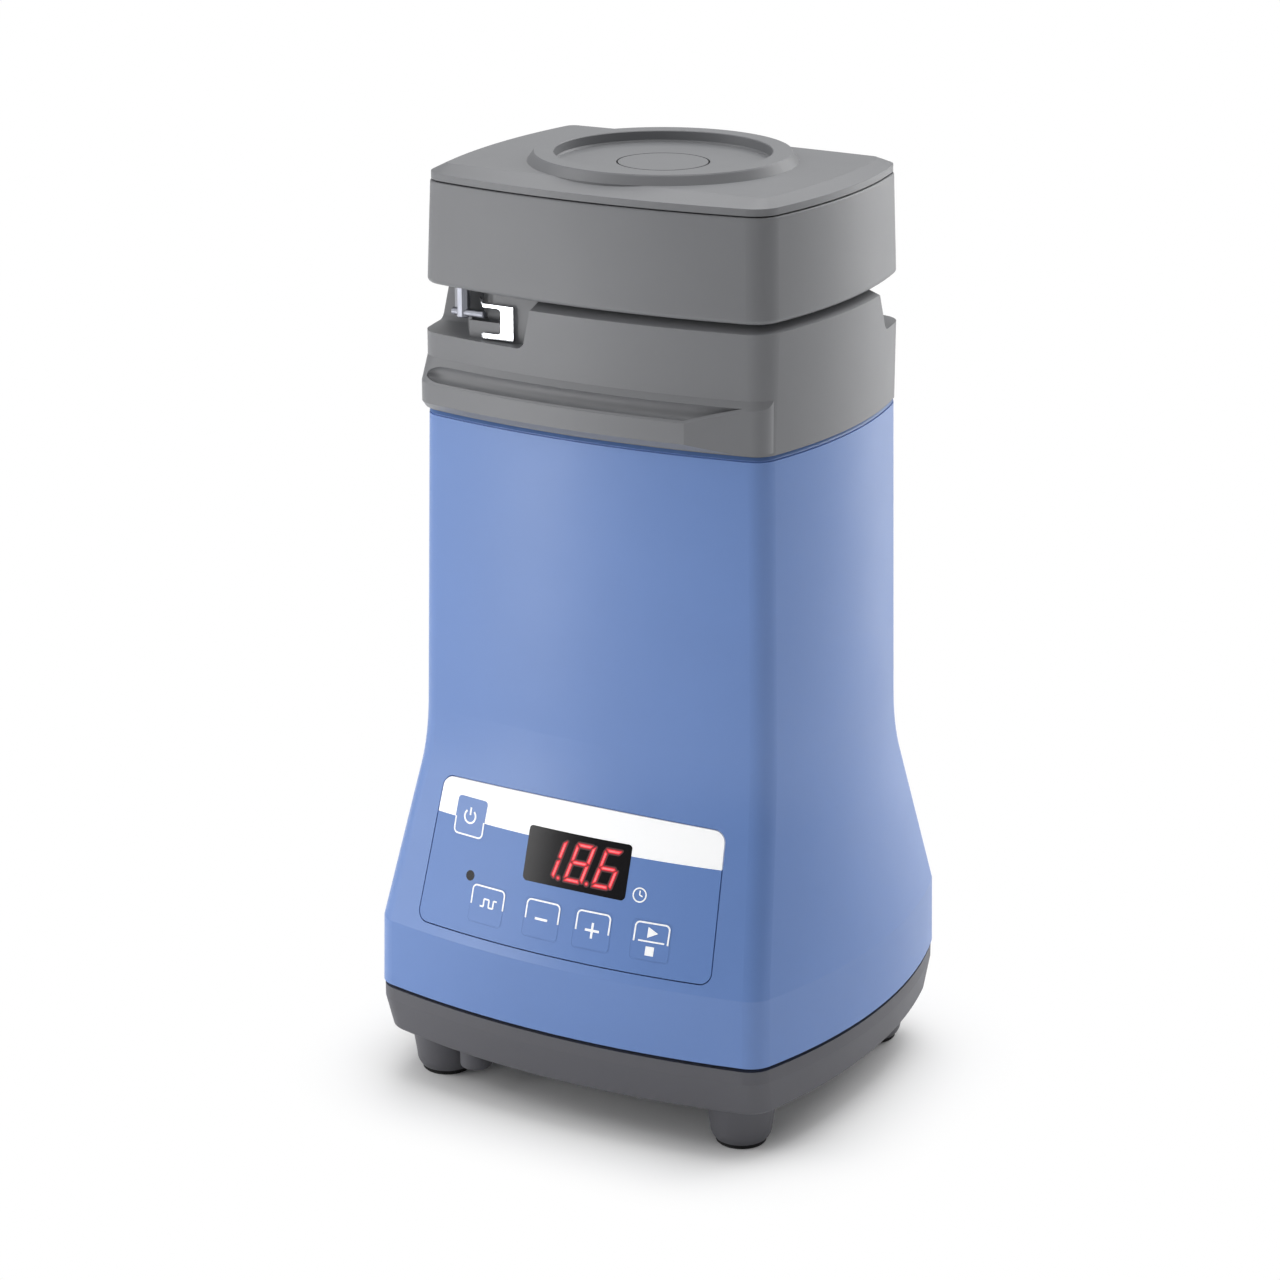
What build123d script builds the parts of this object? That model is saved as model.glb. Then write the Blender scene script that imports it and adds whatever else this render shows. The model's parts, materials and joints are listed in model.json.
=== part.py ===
from build123d import *
from dataclasses import dataclass, replace
from math import atan2, cos, degrees, hypot, radians, sin, sqrt
import os

# Analytical lab mill: a bench mill with a turn-and-lift lid over a grinding cup.
# Millimetres. Origin at the middle of the footprint on the bench, +Z up, control panel towards -Y.


@dataclass(frozen=True)
class Section:
    """A level of the body: a rounded rectangle whose four sides bulge outwards."""

    z: float
    half_w: float
    half_d: float
    front_r: float
    side_r: float
    corner_r: float

    def grown(self, by):
        return Section(self.z, self.half_w + by, self.half_d + by, self.front_r + by, self.side_r + by,
                       max(self.corner_r + by, 0.8))

    def at(self, z):
        return replace(self, z=z)


# Body levels
TRAY_BOTTOM = Section(13.0, 62.4, 55.2, 205.0, 168.0, 7.6)
TRAY_KNEE = Section(22.4, 64.7, 56.7, 244.0, 150.0, 7.1)
TRAY_TOP = Section(25.9, 64.7, 56.7, 244.0, 150.0, 7.1)
SHELL_FOOT = Section(27.0, 65.0, 57.0, 244.0, 150.0, 7.1)
CREASE = Section(45.0, 64.6, 56.65, 244.0, 150.0, 7.1)
FLARE_END = Section(84.0, 56.68, 44.41, 238.0, 141.0, 6.6)
KNEE = Section(91.5, 55.15, 42.05, 236.0, 140.0, 6.5)
NECK = Section(101.4, 54.96, 41.75, 236.0, 140.0, 6.5)
SHELL_TOP = Section(180.1, 53.47, 40.96, 231.0, 129.0, 6.3)
HOUSING_FOOT = Section(180.4, 53.65, 41.15, 231.0, 129.0, 6.4)
SHOULDER = Section(210.4, 53.45, 41.4, 227.0, 142.0, 7.4)
LID_FOOT = Section(212.7, 53.14, 41.28, 227.0, 142.0, 7.5)
LID_TOP = Section(238.4, 52.14, 40.38, 227.0, 142.0, 7.5)
CAP_FOOT = Section(238.75, 51.9, 40.15, 227.0, 142.0, 7.3)
CAP_EDGE = Section(240.5, 51.9, 40.15, 227.0, 142.0, 7.3)
CROWN = Section(242.3, 47.9, 31.6, 900.0, 160.0, 2.5)

WALL = 3.2
SEAT = 0.3  # clearance between pieces that sit in one another
LINE_Z0, LINE_Z1, LINE_DEPTH = 178.95, 179.4, 0.4

# Feet and base
FOOT_X, FOOT_Y = 44.6, 37.1
FOOT_TOP_R, FOOT_LOW_R, FOOT_END_R = 9.5, 8.0, 6.7
PAD_R, PAD_H, PAD_SUNK = 6.5, 2.6, 1.4
STUB_X, STUB_Y, STUB_R, STUB_Z = -31.5, -43.4, 4.2, 5.5
BASE_SCREW_SPOTS = [(57.2, 3.5), (-57.2, -3.5), (22.0, -47.6), (-22.0, 47.6)]
BASE_SCREW_R, BASE_SCREW_HEAD_R, BASE_SCREW_HEAD_H = 1.5, 2.7, 2.0
BASE_BOSS_R = 5.0

# Control panel, laid out as (x, distance up the slope from the crease)
SLOPE = atan2(CREASE.half_d - KNEE.half_d, KNEE.z - CREASE.z)
PANEL_BOTTOM, PANEL_TOP = 2.95, 42.4
PANEL_BOTTOM_HALF, PANEL_TOP_HALF, PANEL_CORNER = 43.3, 41.3, 3.0
OVERLAY_T, POCKET_DEPTH, KEY_T = 1.6, 1.9, 1.0
WINDOW_X, WINDOW_S, WINDOW_W, WINDOW_H = 2.68, 27.4, 29.5, 13.8
SENSOR_X, SENSOR_S, SENSOR_R = -28.4, 17.9, 1.35
KEY_W, KEY_H, KEY_STEM_R, KEY_TRAVEL = 10.2, 9.6, 1.6, 0.5
KEY_X = {"key_pulse": -21.8, "key_minus": -4.8, "key_plus": 10.0, "key_start_stop": 26.3}
KEY_S = 11.6
POWER_X, POWER_S, POWER_W, POWER_H = -31.15, 32.5, 9.6, 10.0
BOARD_DEPTH, BOARD_T, BOARD_W, BOARD_H, BOARD_S = 12.0, 1.6, 84.0, 33.0, 21.0
BOARD_SCREW_X, BOARD_SCREW_S = 38.5, 12.5

# Motor, on the axis
SHAFT_R, RUN_FIT = 4.0, 0.05
BEARING_R, BEARING_H, BEARING_LOW_Z, BEARING_TOP_Z = 11.0, 7.0, 87.0, 166.5
CAN_R, CAN_WALL, CAN_Z0, CAN_Z1 = 27.0, 2.5, 84.0, 168.0
PLATE_Z0, PLATE_Z1, PLATE_W, PLATE_D = 168.0, 174.0, 84.0, 60.0
MAGNET_Z0, MAGNET_Z1, MAGNET_BORE, MAGNET_ARC = 116.0, 152.0, 14.7, 140.0
ARMATURE_R, ARMATURE_SLOTS = 14.1, 12
COMMUTATOR_R, COMMUTATOR_Z0, COMMUTATOR_Z1, COMMUTATOR_BARS = 9.0, 99.0, 111.0, 24
BRUSH_W, BRUSH_H, BRUSH_Z, BRUSH_LEN = 5.0, 8.0, 105.0, 14.0
FAN_R, FAN_Z0, FAN_Z1, FAN_BLADES = 24.0, 68.0, 80.0, 11
PILLAR_X, PILLAR_Y, PILLAR_R = 35.0, 25.0, 4.8
LUG_AT, LUG_R, LUG_Z0 = 29.5, 3.8, 158.0

# Head: well, cup and neck
SKIRT_Z0 = 172.5
FLOOR_Z0, FLOOR_Z1 = 183.5, 188.0
WELL_R, NECK_R, NECK_Z = 28.6, 33.0, 217.0
CUP_R, CUP_WALL, CUP_Z0, CUP_TOP, CUP_FLANGE_R, CUP_FLANGE_T = 27.0, 1.6, 189.0, 232.0, 31.5, 2.0
HUB_R, SEAL_HOUSE_R, SPIGOT_R, SPIGOT_Z, SHAFT_TOP = 7.6, 6.0, 3.0, 201.6, 209.5
BLADE_LEN, BLADE_W, BLADE_T, BLADE_Z = 46.0, 9.0, 1.6, 202.0

# Grip lip across the front of the head
LIP_OUT, LIP_SHIFT = 4.2, 0.8
LIP_Z0, LIP_Z1, LIP_Z2, LIP_Z3 = 181.2, 183.1, 188.3, 194.2
LIP_TURN, LIP_KNUCKLE, LIP_END_ROUND, LIP_RIM = (31.0, -43.27), (49.35, -36.74), 5.0, 0.5
SCOOP_TOP_OUT, SCOOP_TOP_Z = 1.2, 192.5
SCOOP_LIP_IN, SCOOP_LIP_Z = 0.4, 188.86
SCOOP_LEFT, SCOOP_RIGHT, SCOOP_END_STRETCH = 41.0, 47.4, 2.4

# Corner recesses, catches and lock bars
RECESS_Z, RECESS_ROUND = 200.35, 2.4
COLLAR_TOP_R, COLLAR_LOW_R = 48.5, 49.3
POCKET_X0, POCKET_X_LOW, POCKET_X_TOP, POCKET_Y = -35.0, -16.6, -14.2, -35.9
SIDE_END_LOW, SIDE_END_TOP, SIDE_ROUND = -22.3, -17.2, 3.0
PLATE_X0, PLATE_X1, PLATE_LOW, PLATE_HIGH, PLATE_T = -30.2, -21.5, 200.8, 209.5, 1.1
SLOT_X, SLOT_LOW, SLOT_HIGH = -25.1, 202.1, 208.7
BAR_ANGLE, BAR_IN_R, BAR_OUT_R, BAR_WIDE, BAR_EDGE = 223.7, 49.8, 53.0, 5.1, 0.9
SHANK_IN_R, SHANK_OUT_R, BAR_Z0, BAR_STEP_Z, BAR_Z1 = 46.8, 51.3, 205.3, 212.9, 228.0
BAR_SCREW_Z = 222.0
PIN_R, PIN_Z, PIN_TIP_X, PIN_TAIL_X, PIN_Y = 0.95, 206.7, -29.9, -39.4, -36.6
PIN_TRACK_R, PIN_TRACK_FROM, PIN_TRACK_TO = 45.4, 219.0, 232.5

# Lid
LID_WALL, LID_ROOF_Z, LID_RIM_R0, LID_RIM_R1, LID_RIM_Z = 3.0, 235.4, 34.0, 36.4, 213.3
RIB_COUNT, RIB_T, RIB_Z = 12, 1.8, 215.0
RING_R0, RING_R1, RING_R2, RING_RISE = 27.3, 32.2, 34.0, 2.4
RECESS_DEPTH, PLUG_R, PLUG_GROOVE = 2.85, 11.3, 0.45
DISC_R, DISC_Z0, DISC_Z1 = 29.0, 233.0, 234.8
SEAL_R0, SEAL_R1, SEAL_Z0 = 24.6, 28.0, 232.3
DISC_PIN_R, DISC_PIN_HEAD_R = 3.0, 5.0
CAP_SCREW_X, CAP_SCREW_Y = 40.5, 26.5

# Rear inlet
SOCKET_Z, SOCKET_FACE_Y, SOCKET_R, SOCKET_BORE_R, SOCKET_BORE, SOCKET_NUT_Z = 64.0, 46.4, 5.6, 3.3, 9.5, 8.4

BASE = (Align.CENTER, Align.CENTER, Align.MIN)
TOP = (Align.CENTER, Align.CENTER, Align.MAX)
CORNER = (Align.MIN, Align.MIN, Align.MIN)
SIDE = (Align.MIN, Align.CENTER, Align.CENTER)


def corner_points(s):
    """Tangent points and middle of the front right corner arc."""
    fy, sx = -s.half_d + s.front_r, s.half_w - s.side_r
    ra, rb = s.front_r - s.corner_r, s.side_r - s.corner_r
    dx, dy = sx, -fy
    d = hypot(dx, dy)
    along = (ra * ra - rb * rb + d * d) / (2 * d)
    off = sqrt(ra * ra - along * along)
    cx, cy = along * dx / d + off * -dy / d, fy + along * dy / d + off * dx / d
    if cx < 0:
        cx, cy = along * dx / d - off * -dy / d, fy + along * dy / d - off * dx / d
    ua = Vector(cx, cy - fy).normalized()
    ub = Vector(cx - sx, cy).normalized()
    um = (ua + ub).normalized()
    centre = Vector(cx, cy)
    r = s.corner_r
    return centre + ua * r, centre + um * r, centre + ub * r


def ring_face(s):
    """The face enclosed by a body section, at its height."""
    a, m, b = corner_points(s)
    q = [(a.X, a.Y), (m.X, m.Y), (b.X, b.Y)]
    front, side = (0, -s.half_d), (s.half_w, 0)

    def flip(p, sx, sy):
        return (p[0] * sx, p[1] * sy)

    arcs = [ThreePointArc(flip(q[0], -1, 1), front, q[0]), ThreePointArc(*q),
            ThreePointArc(q[2], side, flip(q[2], 1, -1)),
            ThreePointArc(flip(q[2], 1, -1), flip(q[1], 1, -1), flip(q[0], 1, -1)),
            ThreePointArc(flip(q[0], 1, -1), flip(front, 1, -1), flip(q[0], -1, -1)),
            ThreePointArc(flip(q[0], -1, -1), flip(q[1], -1, -1), flip(q[2], -1, -1)),
            ThreePointArc(flip(q[2], -1, -1), flip(side, -1, 1), flip(q[2], -1, 1)),
            ThreePointArc(flip(q[2], -1, 1), flip(q[1], -1, 1), flip(q[0], -1, 1))]
    return Pos(0, 0, s.z) * make_face(Curve() + arcs)


def skin(sections, smooth=False):
    """Solid through the given sections."""
    return loft([ring_face(s) for s in sections], ruled=not smooth)


def blended(grow=0.0, steps=5):
    """Sections of the concave blend between the flare and the upright body."""
    out = []
    for i in range(steps + 1):
        t = i / steps
        w0, w1, w2 = (1 - t) ** 2, 2 * t * (1 - t), t * t
        mix = [w0 * p + w1 * q + w2 * r for p, q, r in
               zip(vars(FLARE_END).values(), vars(KNEE).values(), vars(NECK).values())]
        out.append(Section(*mix).grown(grow))
    return out


def body_form(grow=0.0):
    """The blue body as a full solid, grown or shrunk sideways."""
    low = skin([SHELL_FOOT.grown(grow), CREASE.grown(grow)])
    flare = skin([CREASE.grown(grow), FLARE_END.grown(grow)])
    neck = skin(blended(grow), smooth=True)
    top = skin([NECK.grown(grow), SHELL_TOP.grown(grow)])
    return low + flare + neck + top


def slope_plane(x, s):
    """Plane on the front slope: local x across, local y up the slope, local z outwards."""
    drop = CREASE.front_r - sqrt(CREASE.front_r ** 2 - x * x)
    y = -CREASE.half_d + drop + s * sin(SLOPE)
    z = CREASE.z + s * cos(SLOPE)
    turn = x / CREASE.front_r
    across = Vector(cos(turn), sin(turn), 0)
    out = Vector(sin(turn) * cos(SLOPE), -cos(turn) * cos(SLOPE), sin(SLOPE))
    return Plane(origin=(x, y, z), x_dir=across, z_dir=out)


def slope_prism(x, s, sketch, depth_in, depth_out):
    """Sketch on the slope, pushed inwards and outwards along the slope's normal."""
    return extrude(slope_plane(x, s) * Pos(0, 0, -depth_in) * sketch, depth_in + depth_out)


def slope_layer(depth_in, depth_out):
    """Solid layer of the front slope between two depths below its surface."""
    k = 1 / cos(SLOPE)
    outer, inner = blended(-depth_out * k), blended(-depth_in * k)
    flares = [skin([CREASE.grown(-d * k), FLARE_END.grown(-d * k)]) for d in (depth_out, depth_in)]
    necks = [skin(b, smooth=True) for b in (outer, inner)]
    return (flares[0] + necks[0]) - (flares[1] + necks[1]) - Pos(0, 100, 60) * Box(200, 200, 200)


def panel_sketch(margin=0.0):
    """Outline of the front panel, bowed at the bottom because the slope bulges."""
    bow = PANEL_BOTTOM_HALF ** 2 / (2 * CREASE.front_r) * sin(SLOPE)
    low, high = PANEL_BOTTOM - margin, PANEL_TOP + margin
    wl, wh = PANEL_BOTTOM_HALF + margin, PANEL_TOP_HALF + margin
    rim = Curve() + [Line((wl, low + bow), (wh, high)), Line((wh, high), (-wh, high)),
                     Line((-wh, high), (-wl, low + bow)),
                     ThreePointArc((-wl, low + bow), (0, low), (wl, low + bow))]
    face = Sketch() + make_face(rim)
    return fillet(face.vertices(), PANEL_CORNER + margin)


def key_spots():
    spots = {name: (x, KEY_S, KEY_W, KEY_H) for name, x in KEY_X.items()}
    spots["key_power"] = (POWER_X, POWER_S, POWER_W, POWER_H)
    return spots


def front_panel():
    """The pocket in the shell, the overlay and everything that sits in it."""
    prism = slope_prism(0, 0, panel_sketch(), 12, 12)
    pocket = slope_layer(POCKET_DEPTH, -3.0) & slope_prism(0, 0, panel_sketch(SEAT), 12, 12)
    overlay = slope_layer(OVERLAY_T, 0.0) & prism
    sheet = slope_layer(KEY_T, -0.03) & prism
    window_hole = slope_prism(WINDOW_X, WINDOW_S, RectangleRounded(WINDOW_W, WINDOW_H, 1.0), 8, 3)
    window = overlay & window_hole
    sensor_hole = slope_prism(SENSOR_X, SENSOR_S, Circle(SENSOR_R), 8, 3)
    sensor = overlay & sensor_hole
    overlay = overlay - window_hole - sensor_hole
    openings = slope_prism(WINDOW_X, WINDOW_S, RectangleRounded(WINDOW_W - 1.6, WINDOW_H - 1.6, 0.8), 8, 3)
    openings += slope_prism(SENSOR_X, SENSOR_S, Circle(SENSOR_R - 0.3), 8, 3)
    keys = {}
    for name, (x, s, w, h) in key_spots().items():
        overlay -= slope_prism(x, s, RectangleRounded(w + 2 * SEAT, h + 2 * SEAT, 1.2), 8, 3)
        cap = sheet & slope_prism(x, s, RectangleRounded(w, h, 1.0), 8, 3)
        stem_len = BOARD_DEPTH - 4.6 - KEY_TRAVEL - SEAT
        stem = slope_prism(x, s, Circle(KEY_STEM_R), stem_len, -KEY_T / 2)
        keys[name] = cap + stem
        openings += slope_prism(x, s, Circle(KEY_STEM_R + 2 * SEAT), 9, 0)
    return overlay, window, sensor, keys, pocket, openings


def control_electronics():
    """Board parallel to the slope with its switches, the display behind the window, and screws."""
    board_at = slope_plane(0, BOARD_S)

    def on_board(sketch, z0, z1):
        return extrude(board_at * Pos(0, 0, z0) * sketch, z1 - z0)

    front = -BOARD_DEPTH
    board = on_board(RectangleRounded(BOARD_W, BOARD_H, 2.0), front - BOARD_T, front)
    for x, s, _, _ in key_spots().values():
        board += slope_prism(x, s, RectangleRounded(6.0, 6.0, 0.5), BOARD_DEPTH + 0.4, -BOARD_DEPTH + 3.4)
        board += slope_prism(x, s, Circle(1.7), BOARD_DEPTH, -BOARD_DEPTH + 4.6)
    for x in (-26.0, -8.0, 14.0, 30.0):
        board += on_board(Pos(x, 4.0) * RectangleRounded(9.0, 6.5, 0.6), front - BOARD_T - 3.2,
                          front - BOARD_T + 0.1)
    display = slope_prism(WINDOW_X, WINDOW_S, RectangleRounded(26.8, 11.4, 0.6), BOARD_DEPTH - 0.6,
                          -OVERLAY_T - 0.8)
    display = display - on_board(Rectangle(BOARD_W, BOARD_H), front - 5, front)
    holes, posts, screws = [], [], []
    for sx in (-1, 1):
        for ss in (-1, 1):
            spot = Pos(sx * BOARD_SCREW_X, ss * BOARD_SCREW_S)
            holes.append(on_board(spot * Circle(1.4), front - BOARD_T - 1, front + 1))
            posts.append(on_board(spot * Circle(3.0), front, -2.6))
            screws.append(on_board(spot * Circle(1.1), front - BOARD_T, front + 4.6)
                          + on_board(spot * Circle(2.4), front - BOARD_T - 1.6, front - BOARD_T))
    post_bores = [on_board(Pos(sx * BOARD_SCREW_X, ss * BOARD_SCREW_S) * Circle(1.1), front - 0.1,
                           front + 5.0)
                  for sx in (-1, 1) for ss in (-1, 1)]
    for hole in holes:
        board -= hole
    return board, display, posts, post_bores, screws


def base_screw_boss(x, y):
    return Pos(x, y, SHELL_FOOT.z + 0.9) * Cylinder(BASE_BOSS_R, 15.0, align=BASE)


def shell_and_panel():
    """Blue body shell with the panel pocket, board posts, screw bosses and the inlet block."""
    overlay, window, sensor, keys, pocket, openings = front_panel()
    board, display, posts, post_bores, board_screws = control_electronics()
    hollow = skin([SHELL_FOOT.grown(-WALL).at(26.0), CREASE.grown(-WALL)]) + \
        skin([CREASE.grown(-WALL), KNEE.grown(-WALL - 0.3)]) + \
        skin([KNEE.grown(-WALL - 0.3), SHELL_TOP.grown(-WALL).at(181.0)])
    outer = body_form()
    shell = outer - hollow
    shell = chamfer_top_rim(shell)
    for x, y in BASE_SCREW_SPOTS:
        shell += base_screw_boss(x, y) & outer
    for post in posts:
        shell += post - (outer - hollow)
    block = Pos(0, SOCKET_FACE_Y - 1.5, SOCKET_Z) * Box(24, 9, 24)
    shell += block & outer
    shell = shell - pocket - openings
    for bore in post_bores:
        shell -= bore
    for x, y in BASE_SCREW_SPOTS:
        shell -= Pos(x, y, 26) * Cylinder(1.35, 14, align=BASE)
    shell -= Pos(0, SOCKET_FACE_Y + 6, SOCKET_Z) * Box(18, 12, 18)
    shell -= Pos(0, SOCKET_FACE_Y, SOCKET_Z) * Rot(90, 0, 0) * Cylinder(SOCKET_R + SEAT, 30)
    pieces = {"body_shell": shell, "panel_overlay": overlay, "display_window": window,
              "status_sensor": sensor,
              "control_board": board, "display_module": display, "board_screws": Part() + board_screws}
    pieces.update(keys)
    return pieces


def chamfer_top_rim(shell):
    """Small bevel along the shell's upper edge and a fine line cut in below it."""
    s = SHELL_TOP
    band = skin([s.grown(2.0).at(s.z - 0.7), s.grown(2.0)])
    core = skin([s.at(s.z - 0.7), s.grown(-0.7)])
    around = skin([s.grown(2.0).at(LINE_Z0), s.grown(2.0).at(LINE_Z1)])
    within = skin([s.grown(-LINE_DEPTH).at(LINE_Z0), s.grown(-LINE_DEPTH).at(LINE_Z1)])
    return shell - (band - core) - (around - within)


def foot_boss(x, y):
    """Tapered foot with a rounded lower edge."""
    z_top, z_low = TRAY_BOTTOM.z + 1.0, 4.4
    profile = Polyline((0, z_top), (FOOT_TOP_R, z_top), (FOOT_LOW_R, z_low))
    edge = ThreePointArc((FOOT_LOW_R, z_low), (FOOT_LOW_R - 0.35, 2.6), (FOOT_END_R, PAD_H - PAD_SUNK))
    close = Polyline((FOOT_END_R, PAD_H - PAD_SUNK), (0, PAD_H - PAD_SUNK), (0, z_top))
    sketch = make_face(Plane.XZ * (Curve() + [profile, edge, close]))
    boss = revolve(sketch, Axis.Z)
    recess = Cylinder(PAD_R - 0.4, PAD_SUNK, align=BASE)
    return Pos(x, y, 0) * (boss - Pos(0, 0, PAD_H - PAD_SUNK) * recess)


def foot_pad(x, y):
    pad = Cylinder(PAD_R, PAD_H - PAD_SUNK, align=BASE)
    pad = chamfer(pad.edges().group_by(Axis.Z)[0], 0.35)
    pad += Cylinder(PAD_R - 0.7, PAD_H - 0.1, align=BASE)
    return Pos(x, y, 0) * pad


def base_group():
    """Base tray with feet, stub, air slots and screws."""
    tray = skin([TRAY_BOTTOM, TRAY_KNEE]) + skin([TRAY_KNEE, TRAY_TOP])
    tray = fillet(tray.edges().group_by(Axis.Z)[0], 1.2)
    inner = skin([TRAY_BOTTOM.grown(-3.0).at(16.0), TRAY_TOP.grown(-3.0).at(27.0)])
    tray -= inner
    step = skin([TRAY_TOP.grown(3.0), TRAY_TOP.grown(3.0).at(28.0)])
    rim = skin([SHELL_FOOT.grown(-WALL - SEAT).at(20.0), SHELL_FOOT.grown(-WALL - SEAT).at(31.0)])
    rim -= skin([SHELL_FOOT.grown(-WALL - SEAT - 2.0).at(19.0),
                 SHELL_FOOT.grown(-WALL - SEAT - 2.0).at(32.0)])
    tray = (tray - step) + rim
    for sx in (-1, 1):
        for sy in (-1, 1):
            tray += foot_boss(sx * FOOT_X, sy * FOOT_Y)
    stub = Pos(STUB_X, STUB_Y, STUB_Z) * Cylinder(STUB_R, 10, align=BASE)
    tray += fillet(stub.edges().group_by(Axis.Z)[0], 1.0)
    for x, y in BASE_SCREW_SPOTS:
        tray += Pos(x, y, 14) * Cylinder(4.6, 13.6, align=BASE)
        tray -= Pos(x, y, 5) * Cylinder(BASE_SCREW_R + 0.2, 30, align=BASE)
        tray -= Pos(x, y, 27.6) * Cylinder(BASE_BOSS_R + SEAT, 10, align=BASE)
    slots = [Pos(x, 0, 14) * extrude(SlotOverall(46 - abs(x) * 0.4, 3.2, rotation=90), 6, both=True)
             for x in range(-30, 31, 6)]
    tray = tray - slots
    screw = Cylinder(BASE_SCREW_R - 0.2, 24, align=BASE)
    head = Cylinder(BASE_SCREW_HEAD_R, BASE_SCREW_HEAD_H, align=TOP)
    head = chamfer(head.edges().group_by(Axis.Z)[0], 0.5)
    head -= Pos(0, 0, -BASE_SCREW_HEAD_H) * hex_pocket(1.3, 1.0)
    screws = [Pos(x, y, TRAY_BOTTOM.z) * (screw + head) for x, y in BASE_SCREW_SPOTS]
    pieces = {"base_tray": tray, "base_screws": Part() + screws}
    sides = {"left": -1, "right": 1}
    ends = {"front": -1, "rear": 1}
    for end, ey in ends.items():
        for side, sx in sides.items():
            pieces[f"foot_pad_{end}_{side}"] = foot_pad(sx * FOOT_X, ey * FOOT_Y)
    return pieces


def hex_pocket(r, depth):
    return extrude(RegularPolygon(r, 6), depth)


def lip_plan(shift_x, shift_y, z0, z1, stage0, stage1):
    """One stage of the grip lip: the body outline pushed forwards, at two heights."""
    low = Pos(shift_x * stage0, -shift_y * stage0, 0) * ring_face(HOUSING_FOOT.at(z0))
    high = Pos(shift_x * stage1, -shift_y * stage1, 0) * ring_face(HOUSING_FOOT.at(z1))
    return loft([low, high], ruled=True)


def lip_guard(inset=0.0):
    """Everything behind the lip's angled right end, which rounds into the head's corner."""
    end = Vector(*LIP_KNUCKLE)
    start = end - (end - Vector(*LIP_TURN)).normalized() * 140
    region = Polygon((start.X, start.Y), (end.X, end.Y), (end.X, 60), (start.X, 60), align=None)
    knuckle = region.vertices().sort_by_distance((end.X, end.Y, 0))[0]
    region = offset(fillet(knuckle, LIP_END_ROUND), -inset)
    return Pos(0, 0, LIP_Z0 - 1) * extrude(region, 20)


def grip_lip():
    """Forward lip below the front grip, tapering back into the head above it."""
    lip = lip_plan(LIP_SHIFT, LIP_OUT, LIP_Z0, LIP_Z1, 0.45, 1.0)
    lip += lip_plan(LIP_SHIFT, LIP_OUT, LIP_Z1, LIP_Z2, 1.0, 1.0)
    lip += lip_plan(LIP_SHIFT, LIP_OUT, LIP_Z2, LIP_Z3, 1.0, 0.0)
    front_only = Pos(0, -70, 190) * Box(200, 100, 40)
    return (lip & lip_guard()) & front_only


def grip_scoop():
    """Concave finger groove behind the lip, with a round left end."""
    fr = HOUSING_FOOT
    r_face, r_lip = fr.front_r, fr.front_r + LIP_OUT
    top = (r_face + SCOOP_TOP_OUT, SCOOP_TOP_Z)
    rim = (r_lip - SCOOP_LIP_IN, SCOOP_LIP_Z)
    above = Polyline(top, (top[0] + 1.6, top[1] + 1.8), (rim[0] + 1.6, rim[1] + 1.8), rim)
    bowl = Spline(rim, (rim[0] - 1.2, rim[1] - 0.25), (rim[0] - 2.5, rim[1] + 0.2),
                  (rim[0] - 3.2, rim[1] + 1.7), top)
    left, right = degrees(SCOOP_LEFT / r_face), degrees(SCOOP_RIGHT / r_face)
    groove = revolve(make_face(Plane.XZ * (Curve() + [above, bowl])), Axis.Z, revolution_arc=left + right)
    chord = Vector(top[0] - rim[0], 0, top[1] - rim[1])
    round_end = revolve(make_face(Plane.XZ * (Curve() + [Line(top, rim), bowl])),
                        Axis((rim[0], 0, rim[1]), chord), revolution_arc=90)
    groove += scale(round_end, by=(1, SCOOP_END_STRETCH, 1))
    groove = Pos(0, fr.front_r - fr.half_d, 0) * Rot(0, 0, -90 - left) * groove
    return groove & lip_guard(inset=LIP_RIM)


def recess_view(x_low, x_top, corner_r):
    """View of the corner recess from one side: open on one hand, a leaning round end on the other."""
    lean = (x_top - x_low) / (SHOULDER.z - RECESS_Z)
    x_neck = x_low + lean * (NECK_Z - RECESS_Z)
    face = Polygon((-70, RECESS_Z), (x_low, RECESS_Z), (x_neck, NECK_Z), (-70, NECK_Z), align=None)
    corner = face.vertices().sort_by(Axis.Y)[:2].sort_by(Axis.X)[-1]
    return fillet(corner, corner_r)


def corner_recess():
    """Front left recess round the collar, with the strike plate's pocket and the pin's track."""
    low, high = RECESS_Z - 1, NECK_Z
    tall = high - low
    keep = Pos(0, 0, low) * Cone(COLLAR_LOW_R, COLLAR_TOP_R, tall, align=BASE)
    keep -= Pos(POCKET_X0, POCKET_Y - 60, low) * Box(120, 60, tall, align=CORNER)
    keep += Pos(POCKET_X0, POCKET_Y, low) * Box(120, 120, tall, align=CORNER)
    recess = extrude(Plane.XZ * recess_view(POCKET_X_LOW, POCKET_X_TOP, RECESS_ROUND), 70)
    side_view = Plane.YZ * recess_view(SIDE_END_LOW, SIDE_END_TOP, SIDE_ROUND)
    recess = (recess & Pos(-80, 0, 0) * extrude(side_view, 80)) - keep
    first, last = radians(PIN_TRACK_FROM), radians(PIN_TRACK_TO)
    wedge = Polygon((0, 0), (80 * cos(first), 80 * sin(first)), (80 * cos(last), 80 * sin(last)),
                    align=None)
    track_z = PIN_Z - PIN_R - 1.0
    track = Pos(0, 0, track_z) * extrude(wedge, high - track_z)
    track -= Cylinder(PIN_TRACK_R, 3 * high)
    slot_room = Pos(POCKET_X0, POCKET_Y - 0.5, track_z) * Box(-POCKET_X0 + SLOT_X + 0.4, 3.4, 4.6,
                                                              align=CORNER)
    return recess + track + slot_room


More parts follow.
